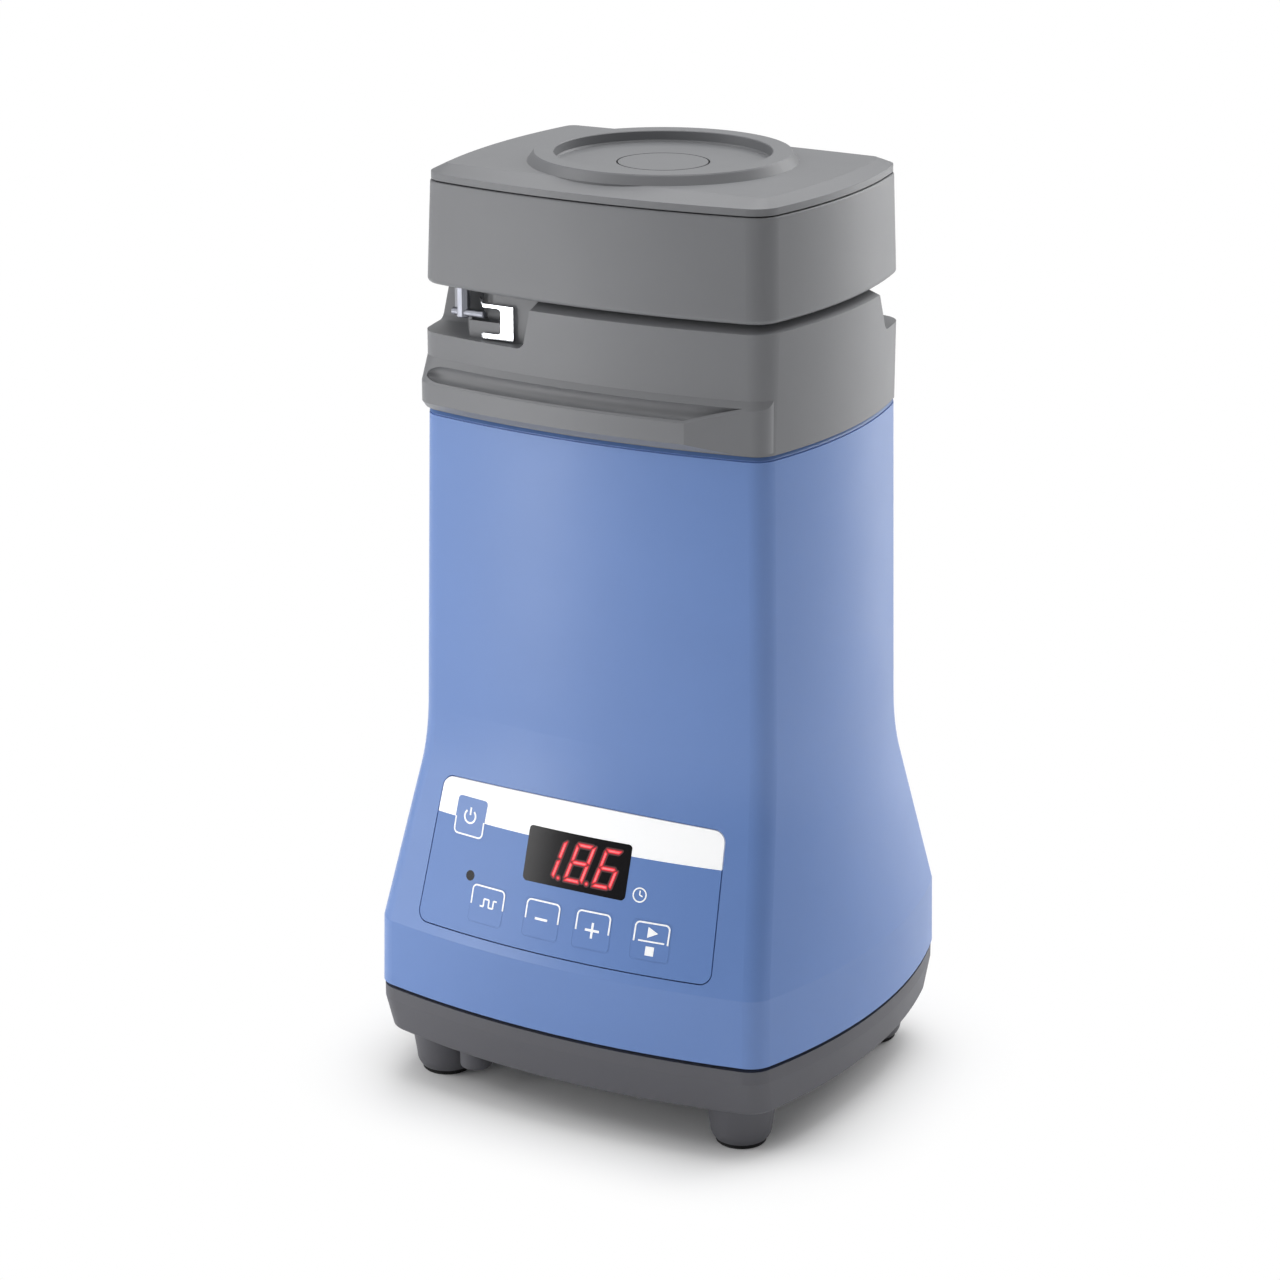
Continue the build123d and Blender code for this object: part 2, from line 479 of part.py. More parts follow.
def head_group():
    """Grey head: walls, floor with motor pillars, neck for the cup, grip and recesses."""
    outer = skin([HOUSING_FOOT, SHOULDER]) + skin([SHOULDER, SHOULDER.grown(-4.0).at(212.2)])
    outer += grip_lip()
    skirt = skin([SHELL_TOP.grown(-WALL - SEAT).at(SKIRT_Z0), SHELL_TOP.grown(-WALL - SEAT).at(182.0)])
    head = outer + skirt
    head -= skin([SHELL_TOP.grown(-WALL - SEAT - 2.2).at(SKIRT_Z0 - 1),
                  SHELL_TOP.grown(-WALL - SEAT - 2.2).at(FLOOR_Z0)])
    head += Pos(0, 0, FLOOR_Z1 - 1) * Cylinder(NECK_R, NECK_Z - FLOOR_Z1 + 1, align=BASE)
    head -= Pos(0, 0, FLOOR_Z1) * Cylinder(WELL_R, 60, align=BASE)
    head -= Cylinder(HUB_R + 2, 500)
    for sx in (-1, 1):
        for sy in (-1, 1):
            pillar = Cylinder(PILLAR_R, FLOOR_Z0 - PLATE_Z1 + 0.5, align=BASE)
            head += Pos(sx * PILLAR_X, sy * PILLAR_Y, PLATE_Z1) * pillar
            head -= Pos(sx * PILLAR_X, sy * PILLAR_Y, PLATE_Z1 - 1) * Cylinder(1.35, 11, align=BASE)
    front = corner_recess()
    head = head - grip_scoop() - front - Rot(0, 0, 180) * front
    plate = catch_plate()
    return {"top_housing": head, "catch_plate_front": plate, "catch_plate_rear": Rot(0, 0, 180) * plate}


def catch_plate():
    """Strike plate with a slot that opens towards the bar between two horns curled inwards."""
    body = Polygon((PLATE_X0, PLATE_LOW), (PLATE_X1, PLATE_LOW), (PLATE_X1, PLATE_HIGH),
                   (PLATE_X0, PLATE_HIGH),
                   align=None)
    slot = Polygon((PLATE_X0 - 1, SLOT_LOW), (SLOT_X, SLOT_LOW), (SLOT_X, SLOT_HIGH),
                   (PLATE_X0 - 1, SLOT_HIGH),
                   align=None)
    slot = fillet(slot.vertices().sort_by(Axis.X)[-2:], 1.0)
    plate = Pos(0, POCKET_Y, 0) * extrude(Plane.XZ * (body - slot), PLATE_T)
    bend = Pos(PLATE_X0, POCKET_Y + 0.5) * (Circle(0.5 + PLATE_T) - Circle(0.5))
    bend &= Pos(PLATE_X0 - 2, POCKET_Y - 2) * Rectangle(4, 4)
    curl = Pos(0, 0, PLATE_LOW - 1) * extrude(bend, 14)
    rise = 1.6
    upper = Polygon((PLATE_X0, SLOT_HIGH), (PLATE_X0, PLATE_HIGH), (PLATE_X0 - rise, PLATE_HIGH + rise),
                    (PLATE_X0 - rise, SLOT_HIGH + 1.5 * rise), align=None)
    lower = Polygon((PLATE_X0, SLOT_LOW), (PLATE_X0 - rise, SLOT_LOW - 0.5),
                    (PLATE_X0 - rise, PLATE_LOW + 0.4),
                    (PLATE_X0, PLATE_LOW), align=None)
    horns = extrude(Plane.XZ * (Sketch() + [upper, lower]), 60)
    return plate + (curl & horns)


def revolved(points):
    """Turned part from a closed profile of (radius, height) points."""
    return revolve(make_face(Plane.XZ * Polyline(*points, close=True)), Axis.Z)


def bearing(z):
    """Ball bearing as one piece: races, recessed shields and the running bore."""
    bore, rim = SHAFT_R + RUN_FIT, BEARING_R - 0.02
    top = BEARING_H
    points = [(bore, 0.3), (bore + 0.3, 0), (6.0, 0), (6.0, 0.5), (9.2, 0.5), (9.2, 0), (rim - 0.4, 0),
              (rim, 0.4),
              (rim, top - 0.4), (rim - 0.4, top), (9.2, top), (9.2, top - 0.5), (6.0, top - 0.5),
              (6.0, top),
              (bore + 0.3, top), (bore, top - 0.3)]
    return Pos(0, 0, z) * revolved(points)


def motor_case():
    """Steel can with bearing cup, brush windows, vents and screw lugs."""
    r, inner = CAN_R, CAN_R - CAN_WALL
    seat_top = BEARING_LOW_Z + BEARING_H
    can = revolved([(7.5, CAN_Z0), (r - 1.5, CAN_Z0), (r, CAN_Z0 + 1.5), (r, CAN_Z1), (inner, CAN_Z1),
                    (inner, CAN_Z0 + 3.0), (BEARING_R + 2.5, CAN_Z0 + 3.0), (BEARING_R + 2.5, seat_top),
                    (BEARING_R, seat_top), (BEARING_R, BEARING_LOW_Z), (7.5, BEARING_LOW_Z)])
    for sx in (-1, 1):
        can -= Pos(sx * r, 0, BRUSH_Z) * Box(12, BRUSH_W + 4.4, BRUSH_H + 4.4)
    vents = PolarLocations(r, 2, 90) * Box(10, 16, 5)
    vents += PolarLocations(r, 4, 45) * Box(10, 9, 5)
    can -= Pos(0, 0, BRUSH_Z - 4) * (Part() + vents) + Pos(0, 0, BRUSH_Z + 4) * (Part() + vents)
    lug = Cylinder(LUG_R, CAN_Z1 - LUG_Z0, align=BASE)
    for angle in (45, 135, 225, 315):
        at = Rot(0, 0, angle) * Pos(LUG_AT, 0, LUG_Z0)
        can += at * lug
        can -= at * Cylinder(1.25, 40)
    return can - Pos(0, 0, LUG_Z0 - 5) * Cylinder(inner, CAN_Z1 - LUG_Z0 + 10, align=BASE)


def motor_end_plate():
    """Aluminium plate that carries the upper bearing and hangs the motor from the head."""
    plate = Pos(0, 0, PLATE_Z0) * extrude(RectangleRounded(PLATE_W, PLATE_D, 8.0), PLATE_Z1 - PLATE_Z0)
    plate += Pos(0, 0, BEARING_TOP_Z - 1.5) * Cylinder(BEARING_R + 3, 4, align=BASE)
    plate -= Pos(0, 0, BEARING_TOP_Z - 2) * Cylinder(BEARING_R, BEARING_H + 2, align=BASE)
    plate -= Pos(0, 0, 170) * Cylinder(8.5, 20)
    for angle in (45, 135, 225, 315):
        plate -= Rot(0, 0, angle) * Pos(LUG_AT, 0, PLATE_Z0) * Cylinder(1.7, 20)
    for sx in (-1, 1):
        for sy in (-1, 1):
            plate -= Pos(sx * PILLAR_X, sy * PILLAR_Y, PLATE_Z0) * Cylinder(1.7, 20)
    return plate


def machine_screw(r, length, head_r, head_h):
    """Screw with its head above the seat at z=0 and its thread below."""
    head = chamfer(Cylinder(head_r, head_h, align=BASE).edges().group_by(Axis.Z)[-1], head_h * 0.25)
    head -= Pos(0, 0, head_h * 0.45) * hex_pocket(head_r * 0.5, head_h)
    return head + Cylinder(r, length, align=TOP)


def magnet(turn):
    """Arc magnet glued in the can."""
    ring = Cylinder(CAN_R - CAN_WALL - SEAT, MAGNET_Z1 - MAGNET_Z0) - Cylinder(MAGNET_BORE, 80)
    half = MAGNET_ARC / 2
    far = 60
    sector = Polygon((0, 0), (far * cos(radians(-half)), far * sin(radians(-half))), (far * 1.5, 0),
                     (far * cos(radians(half)), far * sin(radians(half))), align=None)
    ring &= extrude(sector, 60, both=True)
    return Pos(0, 0, (MAGNET_Z0 + MAGNET_Z1) / 2) * Rot(0, 0, turn) * ring


def brush_set(side):
    """Carbon brush in its box-shaped holder, on the left (-1) or right (+1) of the commutator."""
    inner_x, outer_x = COMMUTATOR_R + 1.4, CAN_R + 4.0
    outer = Pos(inner_x, 0, BRUSH_Z) * Box(outer_x - inner_x, BRUSH_W + 3.6, BRUSH_H + 3.6, align=SIDE)
    flange = Pos(CAN_R + 0.6, 0, BRUSH_Z) * Box(1.8, BRUSH_W + 9.0, BRUSH_H + 9.0, align=SIDE)
    holder = outer + flange - Pos(inner_x - 1, 0, BRUSH_Z) * Box(outer_x - inner_x - 1, BRUSH_W + 0.6,
                                                                 BRUSH_H + 0.6,
                                                                  align=SIDE)
    brush = Pos(COMMUTATOR_R - 1.5, 0, BRUSH_Z) * Box(BRUSH_LEN + 1.5, BRUSH_W, BRUSH_H, align=SIDE)
    brush -= Cylinder(COMMUTATOR_R + 0.1, 400)
    turn = Rot(0, 0, 0 if side > 0 else 180)
    return turn * holder, turn * brush


def armature_pieces():
    """Slotted core on the shaft and the winding that fills its slots."""
    z0, z1 = MAGNET_Z0, MAGNET_Z1
    tall = z1 - z0
    core = Pos(0, 0, z0) * Cylinder(ARMATURE_R, tall, align=BASE)
    slot = Pos(ARMATURE_R - 3.2, 0, 0) * Cylinder(1.9, tall + 2)
    slot += Pos(ARMATURE_R, 0, 0) * Box(6, 1.2, tall + 2)
    slots = Part() + [loc * slot for loc in PolarLocations(0, ARMATURE_SLOTS)]
    core -= Pos(0, 0, (z0 + z1) / 2) * slots
    core -= Cylinder(SHAFT_R + RUN_FIT, 500)
    bar = Pos(ARMATURE_R - 3.2, 0, z0 - 3) * Cylinder(1.55, tall + 6, align=BASE)
    winding = Part() + [loc * bar for loc in PolarLocations(0, ARMATURE_SLOTS)]
    for z in (z0 - 3.4, z1 + 0.4):
        winding += revolved([(5.2, z), (11.6, z), (12.6, z + 1), (12.6, z + 2), (11.6, z + 3),
                             (5.2, z + 3)])
    return core, winding


def commutator_piece():
    z0, tall = COMMUTATOR_Z0, COMMUTATOR_Z1 - COMMUTATOR_Z0
    drum = Pos(0, 0, z0) * Cylinder(COMMUTATOR_R, tall, align=BASE)
    cut = Pos(COMMUTATOR_R, 0, z0 + tall / 2) * Box(1.6, 0.4, tall + 2)
    drum -= [loc * cut for loc in PolarLocations(0, COMMUTATOR_BARS)]
    return drum - Cylinder(SHAFT_R + RUN_FIT, 500)


def fan_piece():
    """Radial fan: hub, disc and backward-curved blades."""
    tall = FAN_Z1 - FAN_Z0
    fan = Cylinder(7.5, tall, align=BASE) + Pos(0, 0, tall - 1.6) * Cylinder(FAN_R, 1.6, align=BASE)
    arc_out = Circle(14.0) - Circle(12.8)
    blade = Pos(12.0, 10.0) * arc_out & Pos(14.8, 0) * Rectangle(17.6, 18)
    blade = extrude(blade.faces().sort_by(Axis.Y)[0], tall - 1.0)
    fan += [loc * blade for loc in PolarLocations(0, FAN_BLADES)]
    fan &= Cylinder(FAN_R, tall, align=BASE)
    return Pos(0, 0, FAN_Z0) * (fan - Cylinder(SHAFT_R + RUN_FIT, 100))


def motor_group():
    core, winding = armature_pieces()
    shaft = revolved([(0, 65), (3.2, 65), (SHAFT_R, 65.8), (SHAFT_R, SPIGOT_Z), (SPIGOT_R, SPIGOT_Z),
                      (SPIGOT_R, SHAFT_TOP - 0.6), (SPIGOT_R - 0.6, SHAFT_TOP), (0, SHAFT_TOP)])
    pieces = {"motor_can": motor_case(), "motor_plate": motor_end_plate(),
              "bearing_lower": bearing(BEARING_LOW_Z),
              "bearing_upper": bearing(BEARING_TOP_Z), "magnet_front": magnet(-90),
              "magnet_rear": magnet(90),
              "motor_shaft": shaft, "armature": core, "armature_winding": winding,
              "commutator": commutator_piece(),
              "cooling_fan": fan_piece()}
    for name, side in (("left", -1), ("right", 1)):
        pieces[f"brush_holder_{name}"], pieces[f"brush_{name}"] = brush_set(side)
    low_screw = machine_screw(1.2, 15.0, 2.9, 2.6)
    pieces["motor_screws"] = Part() + [Rot(0, 0, a) * Pos(LUG_AT, 0, PLATE_Z1) * low_screw
                                       for a in (45, 135, 225, 315)]
    up_screw = Rot(180, 0, 0) * machine_screw(1.25, 14.0, 2.8, 2.4)
    pieces["plate_screws"] = Part() + [Pos(sx * PILLAR_X, sy * PILLAR_Y, PLATE_Z0) * up_screw
                                       for sx in (-1, 1) for sy in (-1, 1)]
    return pieces


def cup_group():
    """Grinding cup with flange, hub and seal, and the beater on the shaft."""
    r, inner, z0, top = CUP_R, CUP_R - CUP_WALL, CUP_Z0, CUP_TOP
    floor, hub_top = z0 + 2.4, z0 + 8.6
    flange = NECK_Z
    cup = revolved([(SEAL_HOUSE_R, z0 - 3), (HUB_R, z0 - 3), (HUB_R, z0), (r - 2, z0), (r, z0 + 2),
                    (r, flange),
                    (CUP_FLANGE_R, flange), (CUP_FLANGE_R, flange + CUP_FLANGE_T),
                    (r, flange + CUP_FLANGE_T + 0.6),
                    (r, top), (inner, top), (inner, floor + 3), (inner - 3, floor), (HUB_R + 2, floor),
                    (HUB_R, hub_top), (SEAL_HOUSE_R, hub_top)])
    seal = revolved([(SHAFT_R + RUN_FIT, z0 - 2), (SEAL_HOUSE_R, z0 - 2), (SEAL_HOUSE_R, hub_top - 0.4),
                     (5.2, hub_top - 0.4), (5.0, hub_top - 1.6), (SHAFT_R + RUN_FIT, hub_top - 0.6)])
    hub = revolved([(SHAFT_R + RUN_FIT, hub_top + 0.6), (7.0, hub_top + 0.6), (6.2, BLADE_Z),
                    (SPIGOT_R + RUN_FIT, BLADE_Z), (SPIGOT_R + RUN_FIT, SPIGOT_Z + 0.05),
                    (SHAFT_R + RUN_FIT, SPIGOT_Z + 0.05)])
    arm = Polygon((-5.2, -BLADE_W / 2), (BLADE_LEN / 2 - 4, -BLADE_W / 2 + 1.2), (BLADE_LEN / 2 - 0.5, 1.5),
                  (BLADE_LEN / 2 - 2, BLADE_W / 2 - 1.5), (-5.2, BLADE_W / 2), align=None)
    flat = extrude(arm, BLADE_T)
    edge = Plane.YZ * Polygon((-BLADE_W, BLADE_T), (-BLADE_W, 0.25), (-BLADE_W / 2 + 1.2, 0.25),
                              (-0.4, BLADE_T), align=None)
    flat -= Pos(7, 0, 0) * extrude(edge, 30)
    blade = flat + Rot(0, 0, 180) * flat + Cylinder(6.4, BLADE_T, align=BASE)
    tip = Pos(BLADE_LEN / 2 - 3.2, 0.6, BLADE_T - 0.2) * Rot(0, -18, 0) * Box(1.4, 4.6, 4.2, align=BASE)
    blade += tip + Rot(0, 0, 180) * tip
    blade = Pos(0, 0, BLADE_Z) * (blade - Cylinder(SPIGOT_R + RUN_FIT, 30))
    nut = extrude(RegularPolygon(5.2, 6), 3.6) & Cone(8.4, 3.6, 4.4, align=BASE)
    nut = Pos(0, 0, BLADE_Z + BLADE_T) * (nut - Cylinder(SPIGOT_R + RUN_FIT, 30))
    return {"grinding_cup": cup, "shaft_seal": seal, "beater_hub": hub, "beater_blade": blade,
            "beater_nut": nut}


def lock_bar(angle):
    """Chamfered bar with a narrower shank that goes up into the lid."""
    foot = Pos((BAR_IN_R + BAR_OUT_R) / 2, 0, BAR_Z0) * Box(BAR_OUT_R - BAR_IN_R, BAR_WIDE,
                                                            BAR_STEP_Z - BAR_Z0, align=BASE)
    foot = chamfer(foot.edges().filter_by(Axis.Z), BAR_EDGE)
    foot = chamfer(foot.edges().group_by(Axis.Z)[0], 0.35)
    shank = Pos((SHANK_IN_R + SHANK_OUT_R) / 2, 0, BAR_STEP_Z) * Box(SHANK_OUT_R - SHANK_IN_R, BAR_WIDE,
                                                                   BAR_Z1 - BAR_STEP_Z, align=BASE)
    thread = Pos(SHANK_IN_R, 0, BAR_SCREW_Z) * Rot(0, 90, 0) * Cylinder(1.25, 30)
    bar = Rot(0, 0, angle) * (foot + shank - thread)
    return bar


def cross_pin():
    """Pin through the front bar, its tip just inside the strike plate's slot."""
    length = PIN_TIP_X - PIN_TAIL_X
    pin = Rot(0, 90, 0) * Cylinder(PIN_R, length, align=BASE)
    pin = chamfer(pin.edges(), 0.25)
    return Pos(PIN_TAIL_X, PIN_Y, PIN_Z) * pin


def lid_shell():
    """Lid body: tapering walls, inner rim round the cup's neck, ribs, bar sockets and cap screw columns."""
    outer = skin([LID_FOOT, LID_TOP])
    outer = fillet(outer.edges().group_by(Axis.Z)[0], 1.1)
    outer = fillet(outer.edges().group_by(Axis.Z)[-1], 0.5)
    inner = skin([LID_FOOT.grown(-LID_WALL).at(LID_FOOT.z - 2), LID_TOP.grown(-LID_WALL).at(LID_ROOF_Z)])
    rim = Cylinder(LID_RIM_R1, 60, align=BASE)
    well = Pos(0, 0, LID_FOOT.z - 3) * Cylinder(LID_RIM_R0, LID_ROOF_Z - LID_FOOT.z + 3, align=BASE)
    rib = Pos(LID_RIM_R1 - 1, 0, RIB_Z) * Box(30, RIB_T, 40, align=(Align.MIN, Align.CENTER, Align.MIN))
    ribs = Part() + [Rot(0, 0, 15 + i * 360 / RIB_COUNT) * rib for i in range(RIB_COUNT)]
    socket = Pos(SHANK_IN_R - 3, 0, LID_RIM_Z + 0.2) * Box(20, BAR_WIDE + 5.0, 40,
                                                           align=(Align.MIN, Align.CENTER, Align.MIN))
    columns = Part() + [Pos(sx * CAP_SCREW_X, sy * CAP_SCREW_Y, RIB_Z) * Cylinder(3.6, 40, align=BASE)
                        for sx in (-1, 1) for sy in (-1, 1)]
    tube = Pos(LID_RIM_R1 - 1, 0, BAR_SCREW_Z) * Rot(0, 90, 0) * Cylinder(3.6, SHANK_IN_R - LID_RIM_R1,
                                                                          align=BASE)
    keep = Pos(0, 0, LID_RIM_Z) * rim + ribs + columns
    keep += Rot(0, 0, BAR_ANGLE) * tube + Rot(0, 0, BAR_ANGLE + 180) * tube
    keep += Rot(0, 0, BAR_ANGLE) * socket + Rot(0, 0, BAR_ANGLE + 180) * socket
    lid = outer - (inner - keep) - well
    slot = Pos((SHANK_IN_R + SHANK_OUT_R) / 2, 0, LID_FOOT.z - 4) * Box(
        SHANK_OUT_R - SHANK_IN_R + 0.3, BAR_WIDE + 0.3, BAR_Z1 - LID_FOOT.z + 4.15, align=BASE)
    foot_room = Pos((BAR_IN_R + BAR_OUT_R) / 2, 0, LID_FOOT.z - 4) * Box(BAR_OUT_R - BAR_IN_R + 0.3,
                                                                         BAR_WIDE + 0.3, 4.35, align=BASE)
    bore = Pos(LID_RIM_R0 - 2, 0, BAR_SCREW_Z) * Rot(0, 90, 0) * Cylinder(1.5, SHANK_IN_R - LID_RIM_R0 + 2,
                                                                          align=BASE)
    head_room = Pos(LID_RIM_R0 - 3, 0, BAR_SCREW_Z) * Rot(0, 90, 0) * Cylinder(3.0, 6.0, align=BASE)
    for turn in (BAR_ANGLE, BAR_ANGLE + 180):
        lid -= Rot(0, 0, turn) * (slot + foot_room + bore + head_room)
    for sx in (-1, 1):
        for sy in (-1, 1):
            at = Pos(sx * CAP_SCREW_X, sy * CAP_SCREW_Y, 0)
            lid += at * Pos(0, 0, LID_TOP.z - 0.1) * Cylinder(3.4, CAP_FOOT.z - LID_TOP.z + 0.1, align=BASE)
            lid -= at * Pos(0, 0, RIB_Z - 1) * Cylinder(1.5, 60, align=BASE)
            lid -= at * Pos(0, 0, RIB_Z - 1) * Cylinder(2.7, 15, align=BASE)
    return lid - Cylinder(2.4, 1000)


def lid_group():
    """Lid body, cap with raised ring, plug, closure disc with seal, bars, pins and screws."""
    ring_z = CROWN.z + RING_RISE
    floor_z = ring_z - RECESS_DEPTH
    crown = skin([CAP_FOOT, CAP_EDGE]) + skin([CAP_EDGE, CROWN])
    ring = revolved([(0, CROWN.z - 1), (RING_R2, CROWN.z - 1), (RING_R2, CROWN.z),
                     (RING_R1 + 0.3, ring_z - 0.3), (RING_R1, ring_z), (0, ring_z)])
    bowl = revolved([(0, floor_z), (RING_R0 - 0.5, floor_z), (RING_R0 - 0.1, floor_z + 0.5),
                     (RING_R0, ring_z - 0.2), (RING_R0 + 0.3, ring_z + 0.1), (RING_R0 + 0.3, ring_z + 2),
                     (0, ring_z + 2)])
    plug_z = floor_z - 2.0
    cap = crown + ring - bowl - Pos(0, 0, plug_z) * Cylinder(PLUG_R + PLUG_GROOVE, 10, align=BASE)
    plug = Pos(0, 0, plug_z) * Cylinder(PLUG_R, 2.0, align=BASE)
    cap_screws = []
    for sx in (-1, 1):
        for sy in (-1, 1):
            at = Pos(sx * CAP_SCREW_X, sy * CAP_SCREW_Y, 0)
            cap -= at * Pos(0, 0, CAP_FOOT.z - 5) * Cylinder(1.35, 7.2, align=BASE)
            cap_screw = Rot(180, 0, 0) * machine_screw(1.3, 11.2, 2.4, 2.2)
            cap_screws.append(at * Pos(0, 0, RIB_Z + 14) * cap_screw)
    cap -= Pos(0, 0, CAP_FOOT.z - 5) * Cylinder(1.9, 6.0, align=BASE)
    disc = revolved([(DISC_PIN_R + 0.1, DISC_Z0), (SEAL_R0 - 0.8, DISC_Z0), (SEAL_R0 - 0.8, DISC_Z0 - 0.5),
                     (SEAL_R0, DISC_Z0 - 0.5),
                     (SEAL_R0, DISC_Z0 + 0.4), (SEAL_R1, DISC_Z0 + 0.4), (SEAL_R1, DISC_Z0 - 0.5),
                     (DISC_R, DISC_Z0 - 0.5),
                     (DISC_R, DISC_Z1 - 0.4), (DISC_R - 0.4, DISC_Z1), (DISC_PIN_R + 0.1, DISC_Z1)])
    seal = revolved([(SEAL_R0, SEAL_Z0 + 0.3), (SEAL_R0 + 0.4, SEAL_Z0), (SEAL_R1 - 0.4, SEAL_Z0),
                     (SEAL_R1, SEAL_Z0 + 0.3),
                     (SEAL_R1, DISC_Z0 + 0.4), (SEAL_R0, DISC_Z0 + 0.4)])
    pin = revolved([(0, DISC_Z0 - 2.0), (DISC_PIN_HEAD_R - 0.6, DISC_Z0 - 2.0),
                    (DISC_PIN_HEAD_R, DISC_Z0 - 1.4), (DISC_PIN_HEAD_R, DISC_Z0 - 0.3),
                    (DISC_PIN_R, DISC_Z0 - 0.3), (DISC_PIN_R, LID_ROOF_Z), (1.8, LID_ROOF_Z),
                    (1.8, CAP_FOOT.z + 0.8), (0, CAP_FOOT.z + 0.8)])
    bar, rod = lock_bar(BAR_ANGLE), cross_pin()
    bar -= Pos(PIN_TAIL_X - 5, PIN_Y, PIN_Z) * Rot(0, 90, 0) * Cylinder(PIN_R + 0.02, 20, align=BASE)
    half_turn = Rot(0, 0, 180)
    bar_screw = machine_screw(1.2, SHANK_OUT_R - LID_RIM_R0 - 4, 2.5, 2.2)
    bar_screw = Pos(LID_RIM_R0 + 3, 0, BAR_SCREW_Z) * Rot(0, -90, 0) * bar_screw
    bar_screws = Part() + [Rot(0, 0, BAR_ANGLE + turn) * bar_screw for turn in (0, 180)]
    return {"lid_body": lid_shell(), "lid_cap": cap, "lid_centre_plug": plug,
            "cap_screws": Part() + cap_screws,
            "pressure_disc": disc, "lid_seal": seal, "disc_pin": pin, "bar_screws": bar_screws,
            "lock_bar_front": bar, "lock_bar_rear": half_turn * bar,
            "lock_pin_front": rod, "lock_pin_rear": half_turn * rod}


def inlet_group():
    """Low-voltage socket in the rear slope: body, nut and centre pin."""
    face = Pos(0, SOCKET_FACE_Y, SOCKET_Z) * Rot(-90, 0, 0)
    body = Cylinder(SOCKET_R, 14, align=TOP) + Cylinder(SOCKET_R + 1.6, 1.6, align=BASE)
    body = chamfer(body.edges().group_by(Axis.Z)[-1], 0.5)
    body -= Pos(0, 0, 1.6 - SOCKET_BORE) * Cylinder(SOCKET_BORE_R, 20, align=BASE)
    pin = Pos(0, 0, 1.6 - SOCKET_BORE) * Cylinder(1.0, SOCKET_BORE - 1.4, align=BASE)
    pin = chamfer(pin.edges().group_by(Axis.Z)[-1], 0.4)
    nut = extrude(RegularPolygon(8.6, 6), 2.4) - Cylinder(SOCKET_R + RUN_FIT, 10)
    nut = Pos(0, 0, -SOCKET_NUT_Z) * nut
    return {"power_socket": face * body, "power_socket_pin": face * pin, "power_socket_nut": face * nut}


def main():
    os.makedirs("parts", exist_ok=True)
    pieces = {}
    pieces.update(shell_and_panel())
    pieces.update(base_group())
    pieces.update(head_group())
    pieces.update(motor_group())
    pieces.update(cup_group())
    pieces.update(lid_group())
    pieces.update(inlet_group())
    for name, piece in pieces.items():
        export_step(piece, f"parts/{name}.step")
        print(name, len(piece.solids()), round(piece.volume, 1))


main()
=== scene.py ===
import json
import math
import bmesh
import bpy
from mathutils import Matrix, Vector


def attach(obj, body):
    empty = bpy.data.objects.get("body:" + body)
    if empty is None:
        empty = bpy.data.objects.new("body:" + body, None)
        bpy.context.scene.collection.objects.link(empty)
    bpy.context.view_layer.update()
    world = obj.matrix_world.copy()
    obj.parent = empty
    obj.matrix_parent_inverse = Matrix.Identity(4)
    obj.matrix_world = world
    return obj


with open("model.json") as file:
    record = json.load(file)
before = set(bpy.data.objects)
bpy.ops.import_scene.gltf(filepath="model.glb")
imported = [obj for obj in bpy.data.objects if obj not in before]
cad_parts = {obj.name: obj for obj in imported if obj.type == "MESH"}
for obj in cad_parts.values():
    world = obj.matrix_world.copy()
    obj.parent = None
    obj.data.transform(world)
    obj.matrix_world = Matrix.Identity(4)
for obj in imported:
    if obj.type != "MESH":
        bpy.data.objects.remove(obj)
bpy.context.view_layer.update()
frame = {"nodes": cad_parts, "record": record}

# Analytical lab mill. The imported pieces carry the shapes. This scene gives them their surfaces, draws the
# panel's printed marks and the lit digits, closes the gaps round the keys, and sets floor, light and camera.

nodes = frame["nodes"]
scene = bpy.context.scene

MM = 0.001

# ---------------------------------------------------------------- the front slope, as in the part's source (mm)
CREASE_Z, FLARE_Z, KNEE_Z = 45.0, 84.0, 91.5
CREASE_D, FLARE_D, KNEE_D = 56.65, 44.41, 42.05
CREASE_R, FLARE_R = 244.0, 238.0
SLOPE = math.atan2(CREASE_D - KNEE_D, KNEE_Z - CREASE_Z)


def slope_normal(turn):
    """Outward normal of the slope where its front has turned by an angle from straight ahead."""
    return Vector((math.sin(turn) * math.cos(SLOPE), -math.cos(turn) * math.cos(SLOPE), math.sin(SLOPE)))


def on_slope(x, s, out):
    """Place in metres for x across and s up the slope from the crease, out millimetres proud of it."""
    z = CREASE_Z + s * math.cos(SLOPE)
    t = (z - CREASE_Z) / (FLARE_Z - CREASE_Z)
    depth = CREASE_D + (FLARE_D - CREASE_D) * t
    r = CREASE_R + (FLARE_R - CREASE_R) * t
    y = -depth + r - math.sqrt(r * r - x * x)
    return (Vector((x, y, z)) + slope_normal(x / r) * out) * MM


# ---------------------------------------------------------------- helpers for materials
SRGB_KNEE, SRGB_SLOPE, SRGB_OFFSET, SRGB_POWER = 0.04045, 12.92, 0.055, 2.4


def linear(rgb):
    """Scene-linear colour of 0 to 255 display values."""
    shares = [c / 255 for c in rgb]
    return tuple(c / SRGB_SLOPE if c <= SRGB_KNEE else ((c + SRGB_OFFSET) / (1 + SRGB_OFFSET)) ** SRGB_POWER
                 for c in shares)


def shade(rgb, by):
    return tuple(min(1.0, c * by) for c in linear(rgb))


def new_material(name):
    mat = bpy.data.materials.new(name)
    mat.use_nodes = True
    tree = mat.node_tree
    coords = tree.nodes.new("ShaderNodeTexCoord")
    return mat, tree, tree.nodes["Principled BSDF"], coords.outputs["Object"]


def put(node, values):
    """Sets inputs of a node by name."""
    for name, value in values.items():
        node.inputs[name].default_value = value


